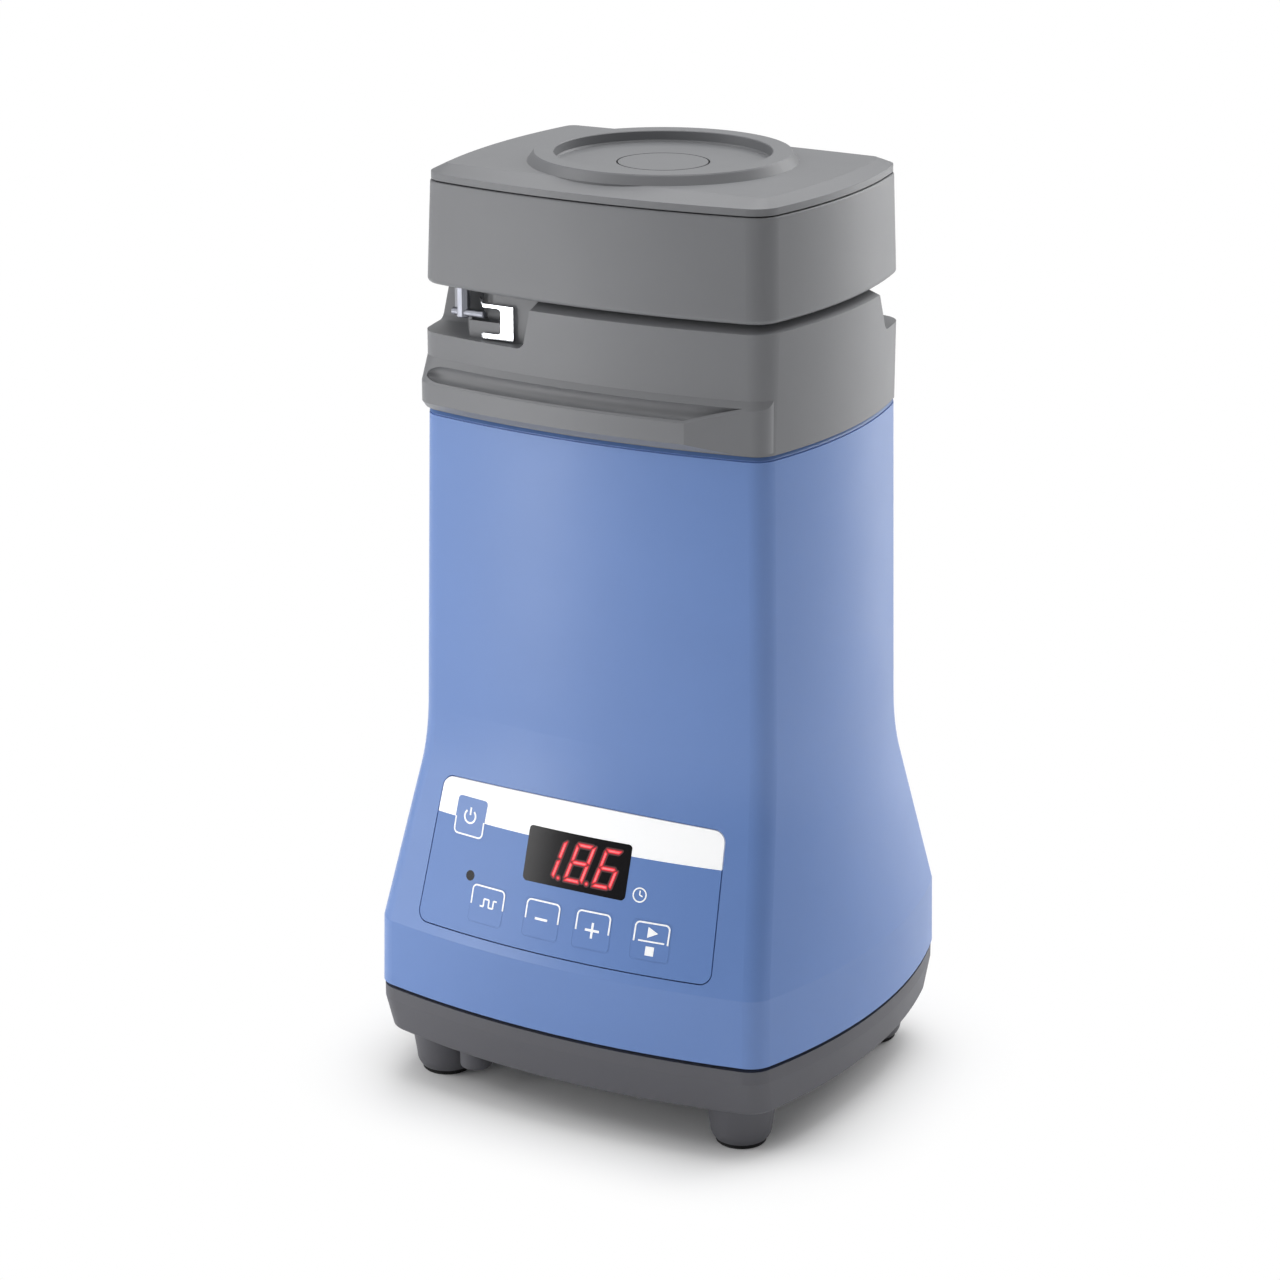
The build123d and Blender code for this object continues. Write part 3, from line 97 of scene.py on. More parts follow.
def noise(tree, coord, scale, detail=3.0, rough=0.5, stretch=None):
    if stretch:
        mapping = tree.nodes.new("ShaderNodeMapping")
        put(mapping, {"Scale": stretch})
        tree.links.new(coord, mapping.inputs["Vector"])
        coord = mapping.outputs["Vector"]
    node = tree.nodes.new("ShaderNodeTexNoise")
    put(node, {"Scale": scale, "Detail": detail, "Roughness": rough})
    tree.links.new(coord, node.inputs["Vector"])
    return node.outputs["Fac"]


def ramp(tree, value, low, high):
    """Colour that runs between two stops, each a pair of a value and the colour there."""
    node = tree.nodes.new("ShaderNodeValToRGB")
    for element, (at, colour) in zip(node.color_ramp.elements, (low, high)):
        element.position = at
        element.color = (*colour, 1.0)
    tree.links.new(value, node.inputs["Fac"])
    return node.outputs["Color"]


def spread(tree, value, low, high):
    """The value's 0 to 1 spread over low to high."""
    node = tree.nodes.new("ShaderNodeMapRange")
    put(node, {"To Min": low, "To Max": high})
    tree.links.new(value, node.inputs["Value"])
    return node.outputs["Result"]


def calculated(tree, operation, first, second):
    """Result of a math node, whose second term is a socket or a plain number."""
    node = tree.nodes.new("ShaderNodeMath")
    node.operation = operation
    tree.links.new(first, node.inputs[0])
    if isinstance(second, bpy.types.NodeSocket):
        tree.links.new(second, node.inputs[1])
    else:
        node.inputs[1].default_value = second
    return node.outputs["Value"]


def bumped(tree, shader, *layers):
    """Bump from layers of (height, strength, distance in metres)."""
    normal = None
    for height, strength, distance in layers:
        node = tree.nodes.new("ShaderNodeBump")
        put(node, {"Strength": strength, "Distance": distance})
        tree.links.new(height, node.inputs["Height"])
        if normal is not None:
            tree.links.new(normal, node.inputs["Normal"])
        normal = node.outputs["Normal"]
    tree.links.new(normal, shader.inputs["Normal"])


# ---------------------------------------------------------------- materials
BLUE = (103, 136, 196)
BAND_Z = 0.07535  # lower edge of the panel's white band, in metres
WHITE_PRINT_GLOW = 0.16  # painted light: the white print and the white band glow with this strength, so that they read bright white
WHITE = (1.0, 1.0, 1.0, 1.0)


def moulded(name, rgb, rough=0.42, vary=0.03, grain=2600, strength=0.12, specular=0.4, coat=0.0):
    """Moulded plastic: fine spark-erosion grain, faint cloudiness of tone and gloss."""
    mat, tree, shader, coord = new_material(name)
    cloud = noise(tree, coord, scale=22, detail=4.0)
    fine = noise(tree, coord, scale=grain, detail=2.0)
    sheen = noise(tree, coord, scale=60)
    waves = noise(tree, coord, scale=9, detail=1.0)
    colour = ramp(tree, cloud, (0.25, shade(rgb, 1 - vary)), (0.75, shade(rgb, 1 + vary)))
    tree.links.new(colour, shader.inputs["Base Color"])
    tree.links.new(spread(tree, sheen, rough - 0.04, rough + 0.04), shader.inputs["Roughness"])
    bumped(tree, shader, (fine, strength, 0.00006), (waves, 0.05, 0.0004))
    put(shader, {"Specular IOR Level": specular, "Coat Weight": coat, "Coat Roughness": 0.25})
    return mat


def metal(name, rgb, rough=0.2, brush=(1, 1, 1), grain=900, strength=0.1, vary=0.06):
    """Metal with brushed or polished grain along the axis where brush is small."""
    mat, tree, shader, coord = new_material(name)
    lines = noise(tree, coord, scale=grain, detail=4.0, rough=0.6, stretch=brush)
    colour = ramp(tree, lines, (0.3, shade(rgb, 1 - vary)), (0.7, shade(rgb, 1 + vary)))
    tree.links.new(colour, shader.inputs["Base Color"])
    tree.links.new(spread(tree, lines, rough * 0.75, rough * 1.25), shader.inputs["Roughness"])
    bumped(tree, shader, (lines, strength, 0.00004))
    put(shader, {"Metallic": 1.0})
    return mat


def rubber(name, rgb):
    """Matt rubber with light specks."""
    mat, tree, shader, coord = new_material(name)
    specks = noise(tree, coord, scale=1600, detail=5.0, rough=0.7)
    colour = ramp(tree, specks, (0.3, shade(rgb, 0.8)), (0.75, shade(rgb, 1.35)))
    tree.links.new(colour, shader.inputs["Base Color"])
    tree.links.new(spread(tree, specks, 0.62, 0.8), shader.inputs["Roughness"])
    bumped(tree, shader, (specks, 0.3, 0.0001))
    put(shader, {"Specular IOR Level": 0.3})
    return mat


def printed_sheet(name):
    """The panel's polyester sheet: blue, with the white band above BAND_Z."""
    mat, tree, shader, coord = new_material(name)
    split = tree.nodes.new("ShaderNodeSeparateXYZ")
    tree.links.new(coord, split.inputs["Vector"])
    in_band = calculated(tree, "GREATER_THAN", split.outputs["Z"], BAND_Z)
    cloud = noise(tree, coord, scale=30)
    fine = noise(tree, coord, scale=5200, detail=2.0)
    blue = ramp(tree, cloud, (0.25, shade(BLUE, 0.99)), (0.75, shade(BLUE, 1.03)))
    white = ramp(tree, cloud, (0.25, linear((250, 251, 252))), (0.75, linear((254, 254, 254))))
    mix = tree.nodes.new("ShaderNodeMix")
    mix.data_type = "RGBA"
    tree.links.new(in_band, mix.inputs["Factor"])
    tree.links.new(blue, mix.inputs["A"])
    tree.links.new(white, mix.inputs["B"])
    tree.links.new(mix.outputs["Result"], shader.inputs["Base Color"])
    # painted light: the white band glows, so that it reads bright white
    tree.links.new(spread(tree, in_band, 0.0, WHITE_PRINT_GLOW), shader.inputs["Emission Strength"])
    tree.links.new(spread(tree, fine, 0.36, 0.44), shader.inputs["Roughness"])
    bumped(tree, shader, (fine, 0.08, 0.00003))
    put(shader, {"Emission Color": WHITE, "Specular IOR Level": 0.4})
    return mat


def glossy_lens(name):
    """Smoked window over the digits and over the status lamp."""
    mat, tree, shader, coord = new_material(name)
    tint = noise(tree, coord, scale=40, detail=2.0)
    wipes = noise(tree, coord, scale=800, detail=2.0)
    colour = ramp(tree, tint, (0.3, linear((15, 13, 16))), (0.7, linear((19, 17, 20))))
    tree.links.new(colour, shader.inputs["Base Color"])
    tree.links.new(spread(tree, wipes, 0.19, 0.23), shader.inputs["Roughness"])
    bumped(tree, shader, (noise(tree, coord, scale=14, detail=1.0), 0.02, 0.0003))
    put(shader, {"Specular IOR Level": 0.24})
    return mat


def lit(name, bright, dim, strength):
    """Lit segment or its glow, between two close tones in a fine grain."""
    mat, tree, shader, coord = new_material(name)
    grain = noise(tree, coord, scale=1400, detail=2.0)
    colour = ramp(tree, grain, (0.35, linear(dim)), (0.65, linear(bright)))
    tree.links.new(colour, shader.inputs["Base Color"])
    tree.links.new(colour, shader.inputs["Emission Color"])
    put(shader, {"Emission Strength": strength, "Roughness": 0.5})
    return mat


def ink(name, rgb):
    """White screen print."""
    mat, tree, shader, coord = new_material(name)
    grain = noise(tree, coord, scale=3000, detail=2.0)
    colour = ramp(tree, grain, (0.3, shade(rgb, 0.97)), (0.7, shade(rgb, 1.0)))
    tree.links.new(colour, shader.inputs["Base Color"])
    tree.links.new(spread(tree, grain, 0.4, 0.5), shader.inputs["Roughness"])
    # painted light: the white print glows, so that it reads bright white
    put(shader, {"Emission Color": WHITE, "Emission Strength": WHITE_PRINT_GLOW})
    return mat


POLISHED = {"brush": (1, 1, 0.12), "grain": 1500}
PLASTICS = {
    "body_blue": {"rgb": BLUE, "rough": 0.38, "specular": 0.6},
    "head_grey": {"rgb": (120, 121, 124), "specular": 0.55},
    "base_grey": {"rgb": (92, 92, 97), "rough": 0.48},
    "fan_black": {"rgb": (26, 26, 28), "rough": 0.4},
    "carbon": {"rgb": (32, 32, 33), "rough": 0.6, "grain": 1800},
    "board_green": {"rgb": (24, 92, 58), "rough": 0.3, "grain": 1200, "coat": 0.3},
    "magnet_dark": {"rgb": (52, 52, 55), "rough": 0.55, "grain": 900, "strength": 0.3},
    "display_red": {"rgb": (40, 10, 12), "rough": 0.3},
}
RUBBERS = {"rubber_black": (22, 22, 23), "seal_rubber": (110, 42, 34)}
METALS = {
    "chrome_bright": {"rgb": (216, 218, 222), "rough": 0.16, "strength": 0.02, "vary": 0.03, **POLISHED},
    "chrome_soft": {"rgb": (150, 152, 160), "rough": 0.4, "strength": 0.08, **POLISHED},
    "steel_bright": {"rgb": (196, 198, 202), "rough": 0.24, "brush": (1, 1, 0.05), "strength": 0.12},
    "steel_plated": {"rgb": (176, 178, 182), "rough": 0.34, "grain": 500},
    "aluminium_plain": {"rgb": (200, 202, 205), "rough": 0.36, "brush": (0.05, 1, 1), "strength": 0.15},
    "copper": {"rgb": (196, 112, 62), "rough": 0.3, "brush": (1, 1, 0.1), "strength": 0.25, "vary": 0.15},
    "brass": {"rgb": (206, 170, 98), "rough": 0.3},
    "core_steel": {"rgb": (120, 122, 127), "rough": 0.4, "brush": (0.05, 0.05, 3), "grain": 1200,
                   "strength": 0.5},
}
FINISH = {name: moulded(name, **look) for name, look in PLASTICS.items()}
FINISH.update({name: rubber(name, rgb) for name, rgb in RUBBERS.items()})
FINISH.update({name: metal(name, **look) for name, look in METALS.items()})
FINISH["panel_sheet"] = printed_sheet("panel_sheet")
FINISH["lens_dark"] = glossy_lens("lens_dark")
print_white = ink("print_white", (252, 253, 254))

# Finishes that differ from the node's slot
OWN_FINISH = {"key_power": "body_blue", "lock_bar_front": "chrome_soft", "lock_bar_rear": "chrome_soft",
              "lock_pin_front": "chrome_soft", "lock_pin_rear": "chrome_soft"}
slot_of = {entry["node"]: entry["material_slot"] for entry in frame["record"]["subparts"]}
for name, obj in nodes.items():
    obj.data.materials.clear()
    obj.data.materials.append(FINISH[OWN_FINISH.get(name, slot_of[name])])


# ---------------------------------------------------------------- drawing on the slope (mm)
INK_LOW, INK_THICK = 0.045, 0.05


def finish_mesh(name, bm, material, body):
    bmesh.ops.recalc_face_normals(bm, faces=bm.faces)
    mesh = bpy.data.meshes.new(name)
    bm.to_mesh(mesh)
    bm.free()
    mesh.materials.append(material)
    obj = bpy.data.objects.new(name, mesh)
    scene.collection.objects.link(obj)
    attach(obj, body)


def printed(name, loops, material, body, low=INK_LOW, thick=INK_THICK):
    """Flat printed shapes: closed loops of (x, s) points, laid on the slope with a slight thickness."""
    bm = bmesh.new()
    for loop in loops:
        bm.faces.new([bm.verts.new((x, s, low)) for x, s in loop])
    bmesh.ops.triangulate(bm, faces=bm.faces[:])
    lifted = bmesh.ops.extrude_face_region(bm, geom=bm.faces[:])["geom"]
    for vert in (v for v in lifted if isinstance(v, bmesh.types.BMVert)):
        vert.co.z += thick
    for vert in bm.verts:
        vert.co = on_slope(*vert.co)
    finish_mesh(name, bm, material, body)


def bridged(bm, rings, closed):
    """Quads between rings of vertices, and between the last and the first where closed."""
    for a, b in zip(rings, rings[1:] + (rings[:1] if closed else [])):
        for i in range(len(a)):
            j = (i + 1) % len(a)
            bm.faces.new((a[i], a[j], b[j], b[i]))


def stroke(points, width):
    """Quads along a polyline, each a loop."""
    half = width / 2
    sides = []
    for i, (x, s) in enumerate(points):
        before, after = points[max(i - 1, 0)], points[min(i + 1, len(points) - 1)]
        along = Vector((after[0] - before[0], after[1] - before[1])).normalized()
        sides.append(((x - along.y * half, s + along.x * half), (x + along.y * half, s - along.x * half)))
    return [[a[0], a[1], b[1], b[0]] for a, b in zip(sides, sides[1:])]


def arc(x, s, r, start, end, count=12):
    turns = [math.radians(start + (end - start) * i / count) for i in range(count + 1)]
    return [(x + r * math.cos(turn), s + r * math.sin(turn)) for turn in turns]


def disc(x, s, r, count=20):
    return arc(x, s, r, 0, 360, count)[:-1]


def line(x0, s0, x1, s1, steps=4):
    return [(x0 + (x1 - x0) * i / steps, s0 + (s1 - s0) * i / steps) for i in range(steps + 1)]


def rounded(w, h, r, count=6):
    """Rounded rectangle round the origin, counter-clockwise."""
    x, y = w / 2 - r, h / 2 - r
    corners = ((x, y, 0), (-x, y, 90), (-x, -y, 180), (x, -y, 270))
    return [point for cx, cy, start in corners for point in arc(cx, cy, r, start, start + 90, count)]


# ---------------------------------------------------------------- key outlines and marks (mm)
OUTLINE_W, OUTLINE_R, OUTLINE_STEPS = 0.42, 1.2, 6
BRACKET_TOP, BRACKET_LOW = 16.1, 11.1
BRACKETS = {"key_pulse": (-26.8, -16.8), "key_minus": (-9.65, 0.05), "key_plus": (5.33, 14.65),
            "key_start_stop": (21.7, 30.9)}
POWER_LEFT, POWER_RIGHT, POWER_LOW, POWER_TOP = -35.7, -26.6, 27.75, 31.95
SIGN_W, SIGN_S = 0.62, 11.5
MINUS_ENDS, PLUS_X, PLUS_REACH = (-6.8, -3.1), 9.97, 2.0
PULSE_EDGES = (-24.0, -22.9, -21.3, -19.9, -18.9)
PULSE_LEVELS = (11.0, 13.0, 11.0, 13.0)
START_STOP_BAR, START_STOP_BAR_W = (22.9, 11.45, 30.0, 11.45), 0.4
START_MARK = [(25.2, 12.3), (28.0, 13.7), (25.2, 15.1)]
STOP_MARK = [(25.2, 7.9), (27.5, 7.9), (27.5, 10.2), (25.2, 10.2)]
POWER_X, POWER_S, POWER_MARK_W = -31.2, 32.7, 0.5
CLOCK_X, CLOCK_S, CLOCK_W, CLOCK_HAND_W = 21.5, 22.6, 0.36, 0.34
ROUND_MARK_R = 1.75


def open_below(x0, x1, top, low, r=OUTLINE_R):
    """Key outline that is open at the bottom."""
    return (line(x0, low, x0, top - r, 3) + arc(x0 + r, top - r, r, 180, 90, OUTLINE_STEPS)[1:]
            + line(x0 + r, top, x1 - r, top)[1:] + arc(x1 - r, top - r, r, 90, 0, OUTLINE_STEPS)[1:]
            + line(x1, top - r, x1, low, 3)[1:])


def open_above(x0, x1, low, top, r=OUTLINE_R):
    """Key outline that is open at the top, where the white band begins."""
    return (line(x0, top, x0, low + r) + arc(x0 + r, low + r, r, 180, 270, OUTLINE_STEPS)[1:]
            + line(x0 + r, low, x1 - r, low)[1:] + arc(x1 - r, low + r, r, -90, 0, OUTLINE_STEPS)[1:]
            + line(x1, low + r, x1, top)[1:])


def pulse_wave():
    """Square wave, each run a stroke of its own, so that the corners stay square."""
    points = []
    for x0, x1, s in zip(PULSE_EDGES, PULSE_EDGES[1:], PULSE_LEVELS):
        points += [(x0, s), (x1, s)]
    return [quad for a, b in zip(points, points[1:]) for quad in stroke(line(*a, *b, 2), OUTLINE_W)]


def power_mark():
    """Broken ring with an upright bar."""
    return (stroke(arc(POWER_X, POWER_S, ROUND_MARK_R, 130, 410, 24), POWER_MARK_W)
            + stroke(line(POWER_X, POWER_S + 0.3, POWER_X, POWER_S + 2.3), POWER_MARK_W))


def clock_mark():
    """Ring with two hands, beside the digits."""
    return (stroke(arc(CLOCK_X, CLOCK_S, ROUND_MARK_R, 0, 360, 28), CLOCK_W)
            + stroke(line(CLOCK_X, CLOCK_S, CLOCK_X, CLOCK_S + 1.15, 2), CLOCK_HAND_W)
            + stroke(line(CLOCK_X, CLOCK_S, CLOCK_X + 0.85, CLOCK_S - 0.3, 2), CLOCK_HAND_W))


def key_print():
    """Everything printed on the keys, and the clock on the sheet."""
    for key, (x0, x1) in BRACKETS.items():
        printed(f"{key}_outline", stroke(open_below(x0, x1, BRACKET_TOP, BRACKET_LOW), OUTLINE_W),
                print_white, key)
    minus = line(MINUS_ENDS[0], SIGN_S, MINUS_ENDS[1], SIGN_S)
    plus_flat = line(PLUS_X - PLUS_REACH, SIGN_S, PLUS_X + PLUS_REACH, SIGN_S)
    plus_upright = line(PLUS_X, SIGN_S - PLUS_REACH, PLUS_X, SIGN_S + PLUS_REACH)
    bar = stroke(line(*START_STOP_BAR), START_STOP_BAR_W)
    printed("key_pulse_mark", pulse_wave(), print_white, "key_pulse")
    printed("key_minus_mark", stroke(minus, SIGN_W), print_white, "key_minus")
    printed("key_plus_mark", stroke(plus_flat, SIGN_W), print_white, "key_plus")
    printed("key_plus_mark_upright", stroke(plus_upright, SIGN_W), print_white, "key_plus", thick=0.055)
    printed("key_start_stop_bar", bar, print_white, "key_start_stop")
    printed("key_start_mark", [START_MARK], print_white, "key_start_stop")
    printed("key_stop_mark", [STOP_MARK], print_white, "key_start_stop")
    printed("key_power_mark", power_mark(), print_white, "key_power")
    printed("clock_mark", clock_mark(), print_white, "mill")


# ---------------------------------------------------------------- membrane round the keys (mm)
LOWER_KEY = (11.6, 10.2, 9.6)  # middle up the slope, width and height
KEY_BOXES = {"key_pulse": (-21.8, *LOWER_KEY), "key_minus": (-4.8, *LOWER_KEY), "key_plus": (10.0, *LOWER_KEY),
             "key_start_stop": (26.3, *LOWER_KEY), "key_power": (-31.15, 32.5, 9.6, 10.0)}
WEB_TOP, WEB_LOW = 0.02, 0.3
WEB_INNER, WEB_OUTER = (0.05, 1.02), (0.55, 1.17)  # growth over the key's size, and corner radius


def key_membrane(key):
    """Soft web of the keypad that fills the gap round a key, just below the sheet's surface."""
    x, s, w, h = KEY_BOXES[key]
    turn = x / CREASE_R
    origin = Vector((x, -CREASE_D + CREASE_R - math.sqrt(CREASE_R ** 2 - x * x) + s * math.sin(SLOPE),
                     CREASE_Z + s * math.cos(SLOPE)))
    across = Vector((math.cos(turn), math.sin(turn), 0))
    out = slope_normal(turn)
    up = out.cross(across)
    bm = bmesh.new()
    rings = []
    for (extra, r), depth in ((WEB_INNER, WEB_TOP), (WEB_OUTER, WEB_TOP), (WEB_OUTER, WEB_LOW),
                              (WEB_INNER, WEB_LOW)):
        ring = []
        for u, v in rounded(w + extra, h + extra, r):
            sag = u * u / (2 * CREASE_R) * math.cos(SLOPE)
            ring.append(bm.verts.new((origin + across * u + up * v - out * (sag + depth)) * MM))
        rings.append(ring)
    bridged(bm, rings, closed=True)
    finish_mesh(f"{key}_membrane", bm, FINISH["panel_sheet"], "mill")


# ---------------------------------------------------------------- display (mm)
FACE_X, FACE_S, FACE_W, FACE_H, FACE_R = 2.68, 27.6, 30.0, 14.1, 1.1
FACE_LOW, FACE_THICK = 0.02, 0.02
FACE_COLUMNS, FACE_TIP = 24, 0.05  # columns between the corners, and the first one's share of the radius

# Slanted seven-segment digits: each segment is a loop of (across, up) points in the upright digit
DIGIT_W, DIGIT_H, SLANT, DIGIT_S, STROKE = 5.28, 9.95, 0.262, 22.55, 0.7
INNER = DIGIT_W - STROKE
SEGMENTS = {
    "a": [(0.22, DIGIT_H), (4.36, DIGIT_H), (3.86, DIGIT_H - STROKE), (1.08, DIGIT_H - STROKE)],
    "b": [(DIGIT_W, 9.78), (DIGIT_W, 5.3), (INNER, 5.6), (INNER, 9.18)],
    "c": [(DIGIT_W, 4.75), (DIGIT_W, 0.26), (INNER, 0.85), (INNER, 4.4)],
    "d": [(0.22, 0), (4.36, 0), (4.0, STROKE), (0.85, STROKE)],
    "e": [(0, 4.75), (STROKE, 4.4), (STROKE, 1.3), (0, 0.75)],
    "f": [(0, 9.43), (STROKE, 8.78), (STROKE, 5.6), (0.1, 5.3)],
    "g": [(0.62, 5.03), (1.1, 5.38), (4.22, 5.38), (4.64, 5.03), (4.16, 4.68), (1.1, 4.68)],
}
DIGITS = [(-8.55, "bc"), (-0.25, "abcdefg"), (7.92, "acdefg")]  # left foot of each, and its lit segments
POINT_X, POINT_S, POINT_R = 6.6, 0.28, 0.34

# Layers of light from the widest glow to the bright core: name, growth of the shapes, height, then the
# bright and the dim tone and the strength of the material
LAYERS = [
    ("halo_wide", 0.58, 0.050, "segment_glow_wide", (56, 20, 24), (52, 18, 22), 0.5),
    ("halo", 0.36, 0.060, "segment_glow_mid", (96, 14, 22), (90, 12, 20), 0.5),
    ("halo_near", 0.2, 0.070, "segment_glow_near", (168, 18, 32), (158, 16, 30), 0.6),
    ("segment", -0.02, 0.080, "segment_red", (240, 46, 62), (228, 30, 48), 0.7),
    ("core", -0.17, 0.090, "segment_core", (255, 118, 122), (255, 96, 104), 0.7),
]
SEGMENT_STEP, SEGMENT_THICK = 0.001, 0.004  # a step above the last one, so that none coincide
POINT_LIFT, POINT_THICK = 0.008, 0.001


def lens_face():
    """Glossy face of the display window, in narrow columns that follow the slope's curve."""
    corner = [FACE_R * (1 - math.cos(math.radians(15 * k))) for k in range(1, 7)]
    straight = [FACE_R + (FACE_W - 2 * FACE_R) * k / FACE_COLUMNS for k in range(1, FACE_COLUMNS)]
    tip = FACE_TIP * FACE_R
    across = [tip] + corner + straight + [FACE_W - c for c in reversed(corner)] + [FACE_W - tip]
    bm = bmesh.new()
    columns = []
    for u in across:
        inset = max(0.0, FACE_R - min(u, FACE_W - u))
        half = FACE_H / 2 - FACE_R + math.sqrt(FACE_R * FACE_R - inset * inset)
        x, low, high = FACE_X - FACE_W / 2 + u, FACE_LOW, FACE_LOW + FACE_THICK
        places = ((FACE_S - half, low), (FACE_S + half, low), (FACE_S + half, high), (FACE_S - half, high))
        columns.append([bm.verts.new(on_slope(x, s, out)) for s, out in places])
    bridged(bm, columns, closed=False)
    bm.faces.new(columns[0])
    bm.faces.new(columns[-1])
    finish_mesh("display_lens_face", bm, FINISH["lens_dark"], "mill")


def swollen(loop, by):
    """A convex loop grown by a margin with round corners, or shrunk by a negative one."""
    points = [Vector(p) for p in loop]
    if sum(a.x * b.y - b.x * a.y for a, b in zip(points, points[1:] + points[:1])) < 0:
        points.reverse()
    grown = []
    for before, here, after in zip(points[-1:] + points[:-1], points, points[1:] + points[:1]):
        d0, d1 = (here - before).normalized(), (after - here).normalized()
        n0, n1 = Vector((d0.y, -d0.x)), Vector((d1.y, -d1.x))
        if by < 0:
            grown.append(here + (n0 + n1) * by / (1 + n0.dot(n1)))
            continue
        turn = math.atan2(n0.x * n1.y - n0.y * n1.x, n0.dot(n1))
        first = math.atan2(n0.y, n0.x)
        rounds = [first + turn * k / 3 for k in range(4)]
        grown += [here + by * Vector((math.cos(angle), math.sin(angle))) for angle in rounds]
    return grown


def on_digit(x0, loop):
    """A loop of the upright digit, slanted and set at its place on the panel."""
    return [(x0 + u + SLANT * v, DIGIT_S + v) for u, v in loop]


def lit_digits():
    """Three digits and two points, layer over layer."""
    for layer, grow, level, tone, bright, dim, strength in LAYERS:
        material = lit(tone, bright, dim, strength)
        for i, (x0, which) in enumerate(DIGITS):
            for j, name in enumerate(which):
                shape = on_digit(x0, swollen(SEGMENTS[name], grow))
                printed(f"display_{layer}_{i}{name}", [shape], material, "mill", level + SEGMENT_STEP * j,
                        SEGMENT_THICK)
        for i, (x0, _) in enumerate(DIGITS[:2]):
            point = disc(x0 + POINT_X + SLANT * POINT_S, DIGIT_S + POINT_S, POINT_R + grow)
            printed(f"display_{layer}_point_{i}", [point], material, "mill", level + POINT_LIFT, POINT_THICK)


key_print()
for key in KEY_BOXES:
    key_membrane(key)
lens_face()
lit_digits()
power_outline = stroke(open_above(POWER_LEFT, POWER_RIGHT, POWER_LOW, POWER_TOP), OUTLINE_W)
printed("key_power_outline", power_outline, print_white, "key_power", low=0.03, thick=0.04)

# ---------------------------------------------------------------- floor, light, camera (m)
FLOOR_HALF = 4.0
FLOOR_CORE, FLOOR_SHADE, FLOOR_WHITE = (0.035, 0.027, 0.0), 0.013, 0.058
SKY = 0.272
MIDDLE = (0, 0, 0.12)

CAMERA_AT, CAMERA_TILT, CAMERA_TURN = (0.4443, -0.7811, 0.4121), 71.78, 30.0
CAMERA_LENS, CAMERA_SENSOR, CAMERA_FAR = 102.35, 36.0, 50


def round_the_part(azimuth, elevation, distance):
    """Place at an azimuth and elevation in degrees, seen from the middle of the part."""
    a, e = math.radians(azimuth), math.radians(elevation)
    return (distance * math.cos(a) * math.cos(e), distance * math.sin(a) * math.cos(e),
            MIDDLE[2] + distance * math.sin(e))


SOFTBOX_AWAY = 1.7
SOFTBOXES = {  # place, size and power
    "key_left": (round_the_part(-148, 22, SOFTBOX_AWAY), (1.0, 1.6), 12.8),
    "fill_right": (round_the_part(68, 20, SOFTBOX_AWAY), (1.0, 1.6), 14.9),
    "top": ((0.0, 0.3, 1.8), (1.4, 1.4), 19.5),
    "back": (round_the_part(110, 45, SOFTBOX_AWAY), (1.2, 1.2), 4.8),
}
STRIPS = {"strip_left": (-125, 0.24), "strip_right": (67, 0.05)}  # azimuth and power
STRIP_AWAY, STRIP_Z, STRIP_SIZE = 0.42, 0.1, (0.06, 0.19)


def beyond_core(tree, coord):
    """Distance on the floor from the box FLOOR_CORE round the origin."""
    socket = coord
    for operation, by in (("ABSOLUTE", None), ("SUBTRACT", FLOOR_CORE), ("MAXIMUM", (0.0, 0.0, 0.0))):
        step = tree.nodes.new("ShaderNodeVectorMath")
        step.operation = operation
        tree.links.new(socket, step.inputs[0])
        if by:
            step.inputs[1].default_value = by
        socket = step.outputs["Vector"]
    length = tree.nodes.new("ShaderNodeVectorMath")
    length.operation = "LENGTH"
    tree.links.new(socket, length.inputs[0])
    return length.outputs["Value"]


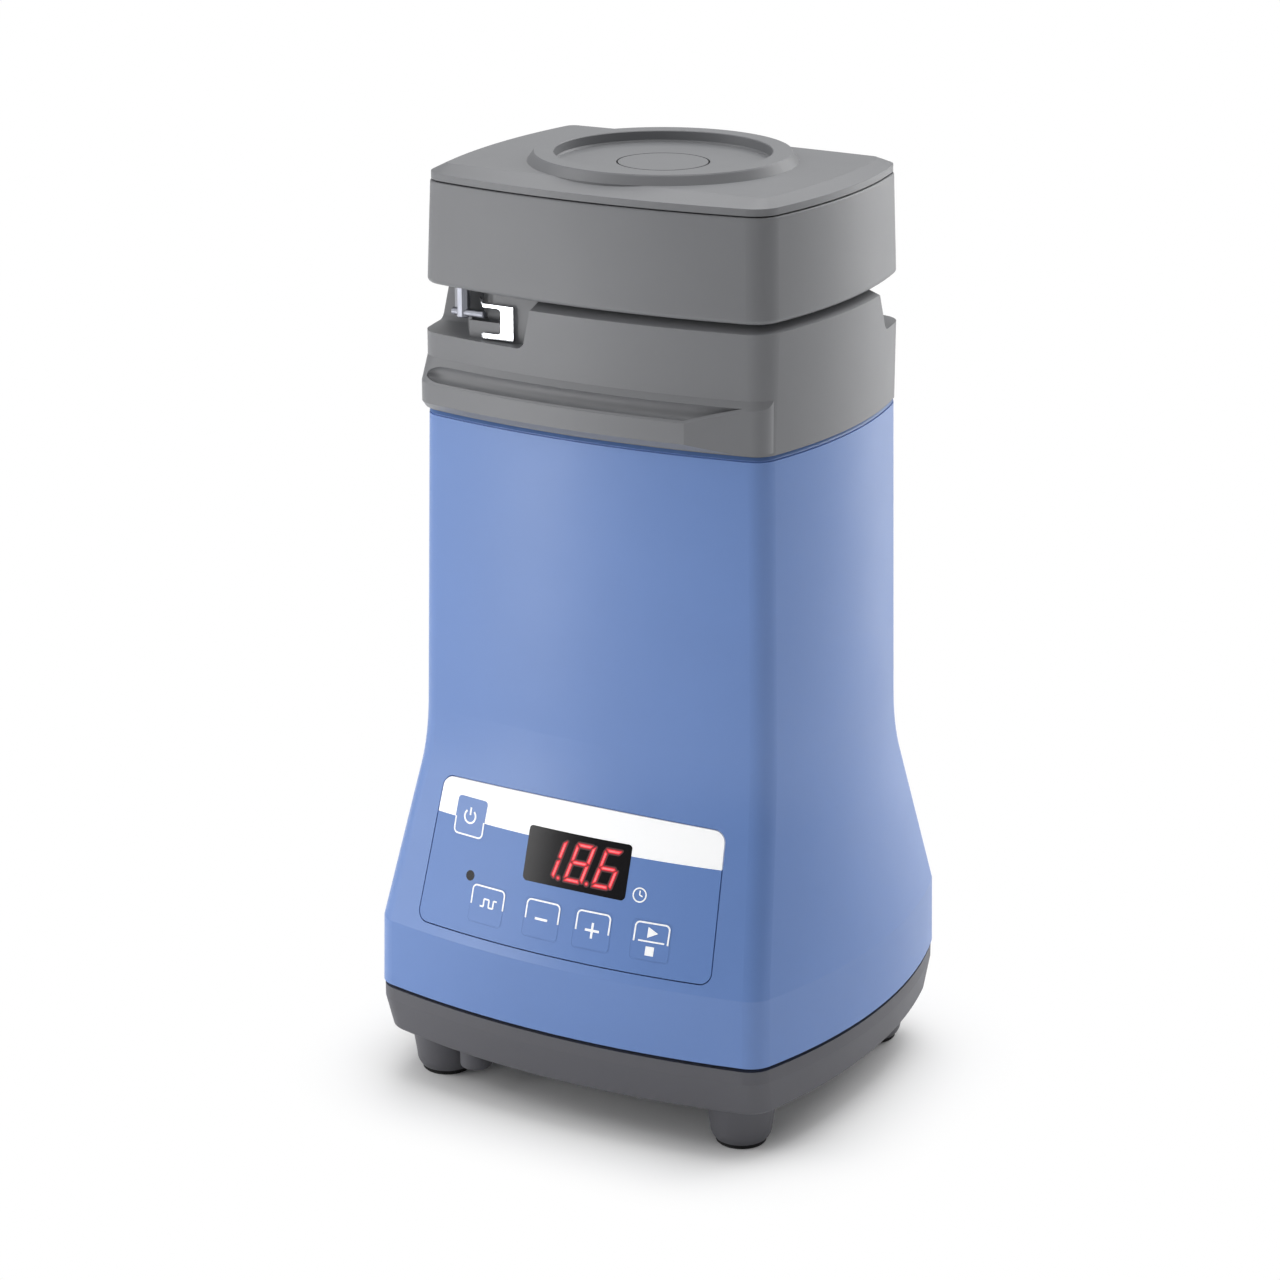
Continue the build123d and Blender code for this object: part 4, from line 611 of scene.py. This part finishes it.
def floor_white():
    """Matt white, which the camera sees as pure white away from the object, as it sees the background."""
    mat, tree, shader, coord = new_material("floor_white")
    tone = noise(tree, coord, scale=3, detail=2.0)
    colour = ramp(tree, tone, (0.2, (0.93, 0.93, 0.935)), (0.8, (0.94, 0.94, 0.94)))
    tree.links.new(colour, shader.inputs["Base Color"])
    put(shader, {"Roughness": 0.9, "Specular IOR Level": 0.0})
    away = tree.nodes.new("ShaderNodeMapRange")
    away.interpolation_type = "SMOOTHSTEP"
    put(away, {"From Min": FLOOR_SHADE, "From Max": FLOOR_WHITE})
    tree.links.new(beyond_core(tree, coord), away.inputs["Value"])
    path = tree.nodes.new("ShaderNodeLightPath")
    seen = calculated(tree, "MULTIPLY", away.outputs["Result"], path.outputs["Is Camera Ray"])
    white = tree.nodes.new("ShaderNodeEmission")
    mix = tree.nodes.new("ShaderNodeMixShader")
    tree.links.new(seen, mix.inputs["Fac"])
    tree.links.new(shader.outputs["BSDF"], mix.inputs[1])
    tree.links.new(white.outputs["Emission"], mix.inputs[2])
    tree.links.new(mix.outputs["Shader"], tree.nodes["Material Output"].inputs["Surface"])
    return mat


def floor():
    bm = bmesh.new()
    bmesh.ops.create_grid(bm, x_segments=8, y_segments=8, size=FLOOR_HALF)
    mesh = bpy.data.meshes.new("floor")
    bm.to_mesh(mesh)
    bm.free()
    mesh.materials.append(floor_white())
    obj = bpy.data.objects.new("floor", mesh)
    scene.collection.objects.link(obj)


def sky():
    """Even soft light all round, seen by the camera as pure white."""
    world = bpy.data.worlds.new("sky")
    world.use_nodes = True
    tree = world.node_tree
    path = tree.nodes.new("ShaderNodeLightPath")
    strength = spread(tree, path.outputs["Is Camera Ray"], SKY, 1.0)
    background = tree.nodes["Background"]
    tree.links.new(strength, background.inputs["Strength"])
    put(background, {"Color": WHITE})
    scene.world = world


def softbox(name, place, aim, size, power):
    data = bpy.data.lights.new(name, "AREA")
    data.shape = "RECTANGLE"
    data.size, data.size_y = size
    data.energy = power
    obj = bpy.data.objects.new(name, data)
    obj.location = place
    obj.rotation_euler = (Vector(aim) - Vector(place)).to_track_quat("-Z", "Y").to_euler()
    scene.collection.objects.link(obj)


def lights():
    """Soft boxes round the part, and upright strips for the soft bright bands down its convex sides."""
    for name, (place, size, power) in SOFTBOXES.items():
        softbox(name, place, MIDDLE, size, power)
    for name, (azimuth, power) in STRIPS.items():
        x, y, _ = round_the_part(azimuth, 0, STRIP_AWAY)
        softbox(name, (x, y, STRIP_Z), (0, 0, STRIP_Z), STRIP_SIZE, power)


def camera():
    data = bpy.data.cameras.new("camera")
    data.sensor_width = CAMERA_SENSOR
    data.lens = CAMERA_LENS
    data.clip_end = CAMERA_FAR
    obj = bpy.data.objects.new("camera", data)
    obj.location = CAMERA_AT
    obj.rotation_euler = (math.radians(CAMERA_TILT), 0.0, math.radians(CAMERA_TURN))
    scene.collection.objects.link(obj)
    scene.camera = obj


floor()
sky()
lights()
camera()
scene.view_settings.view_transform = "Standard"

bpy.context.view_layer.update()
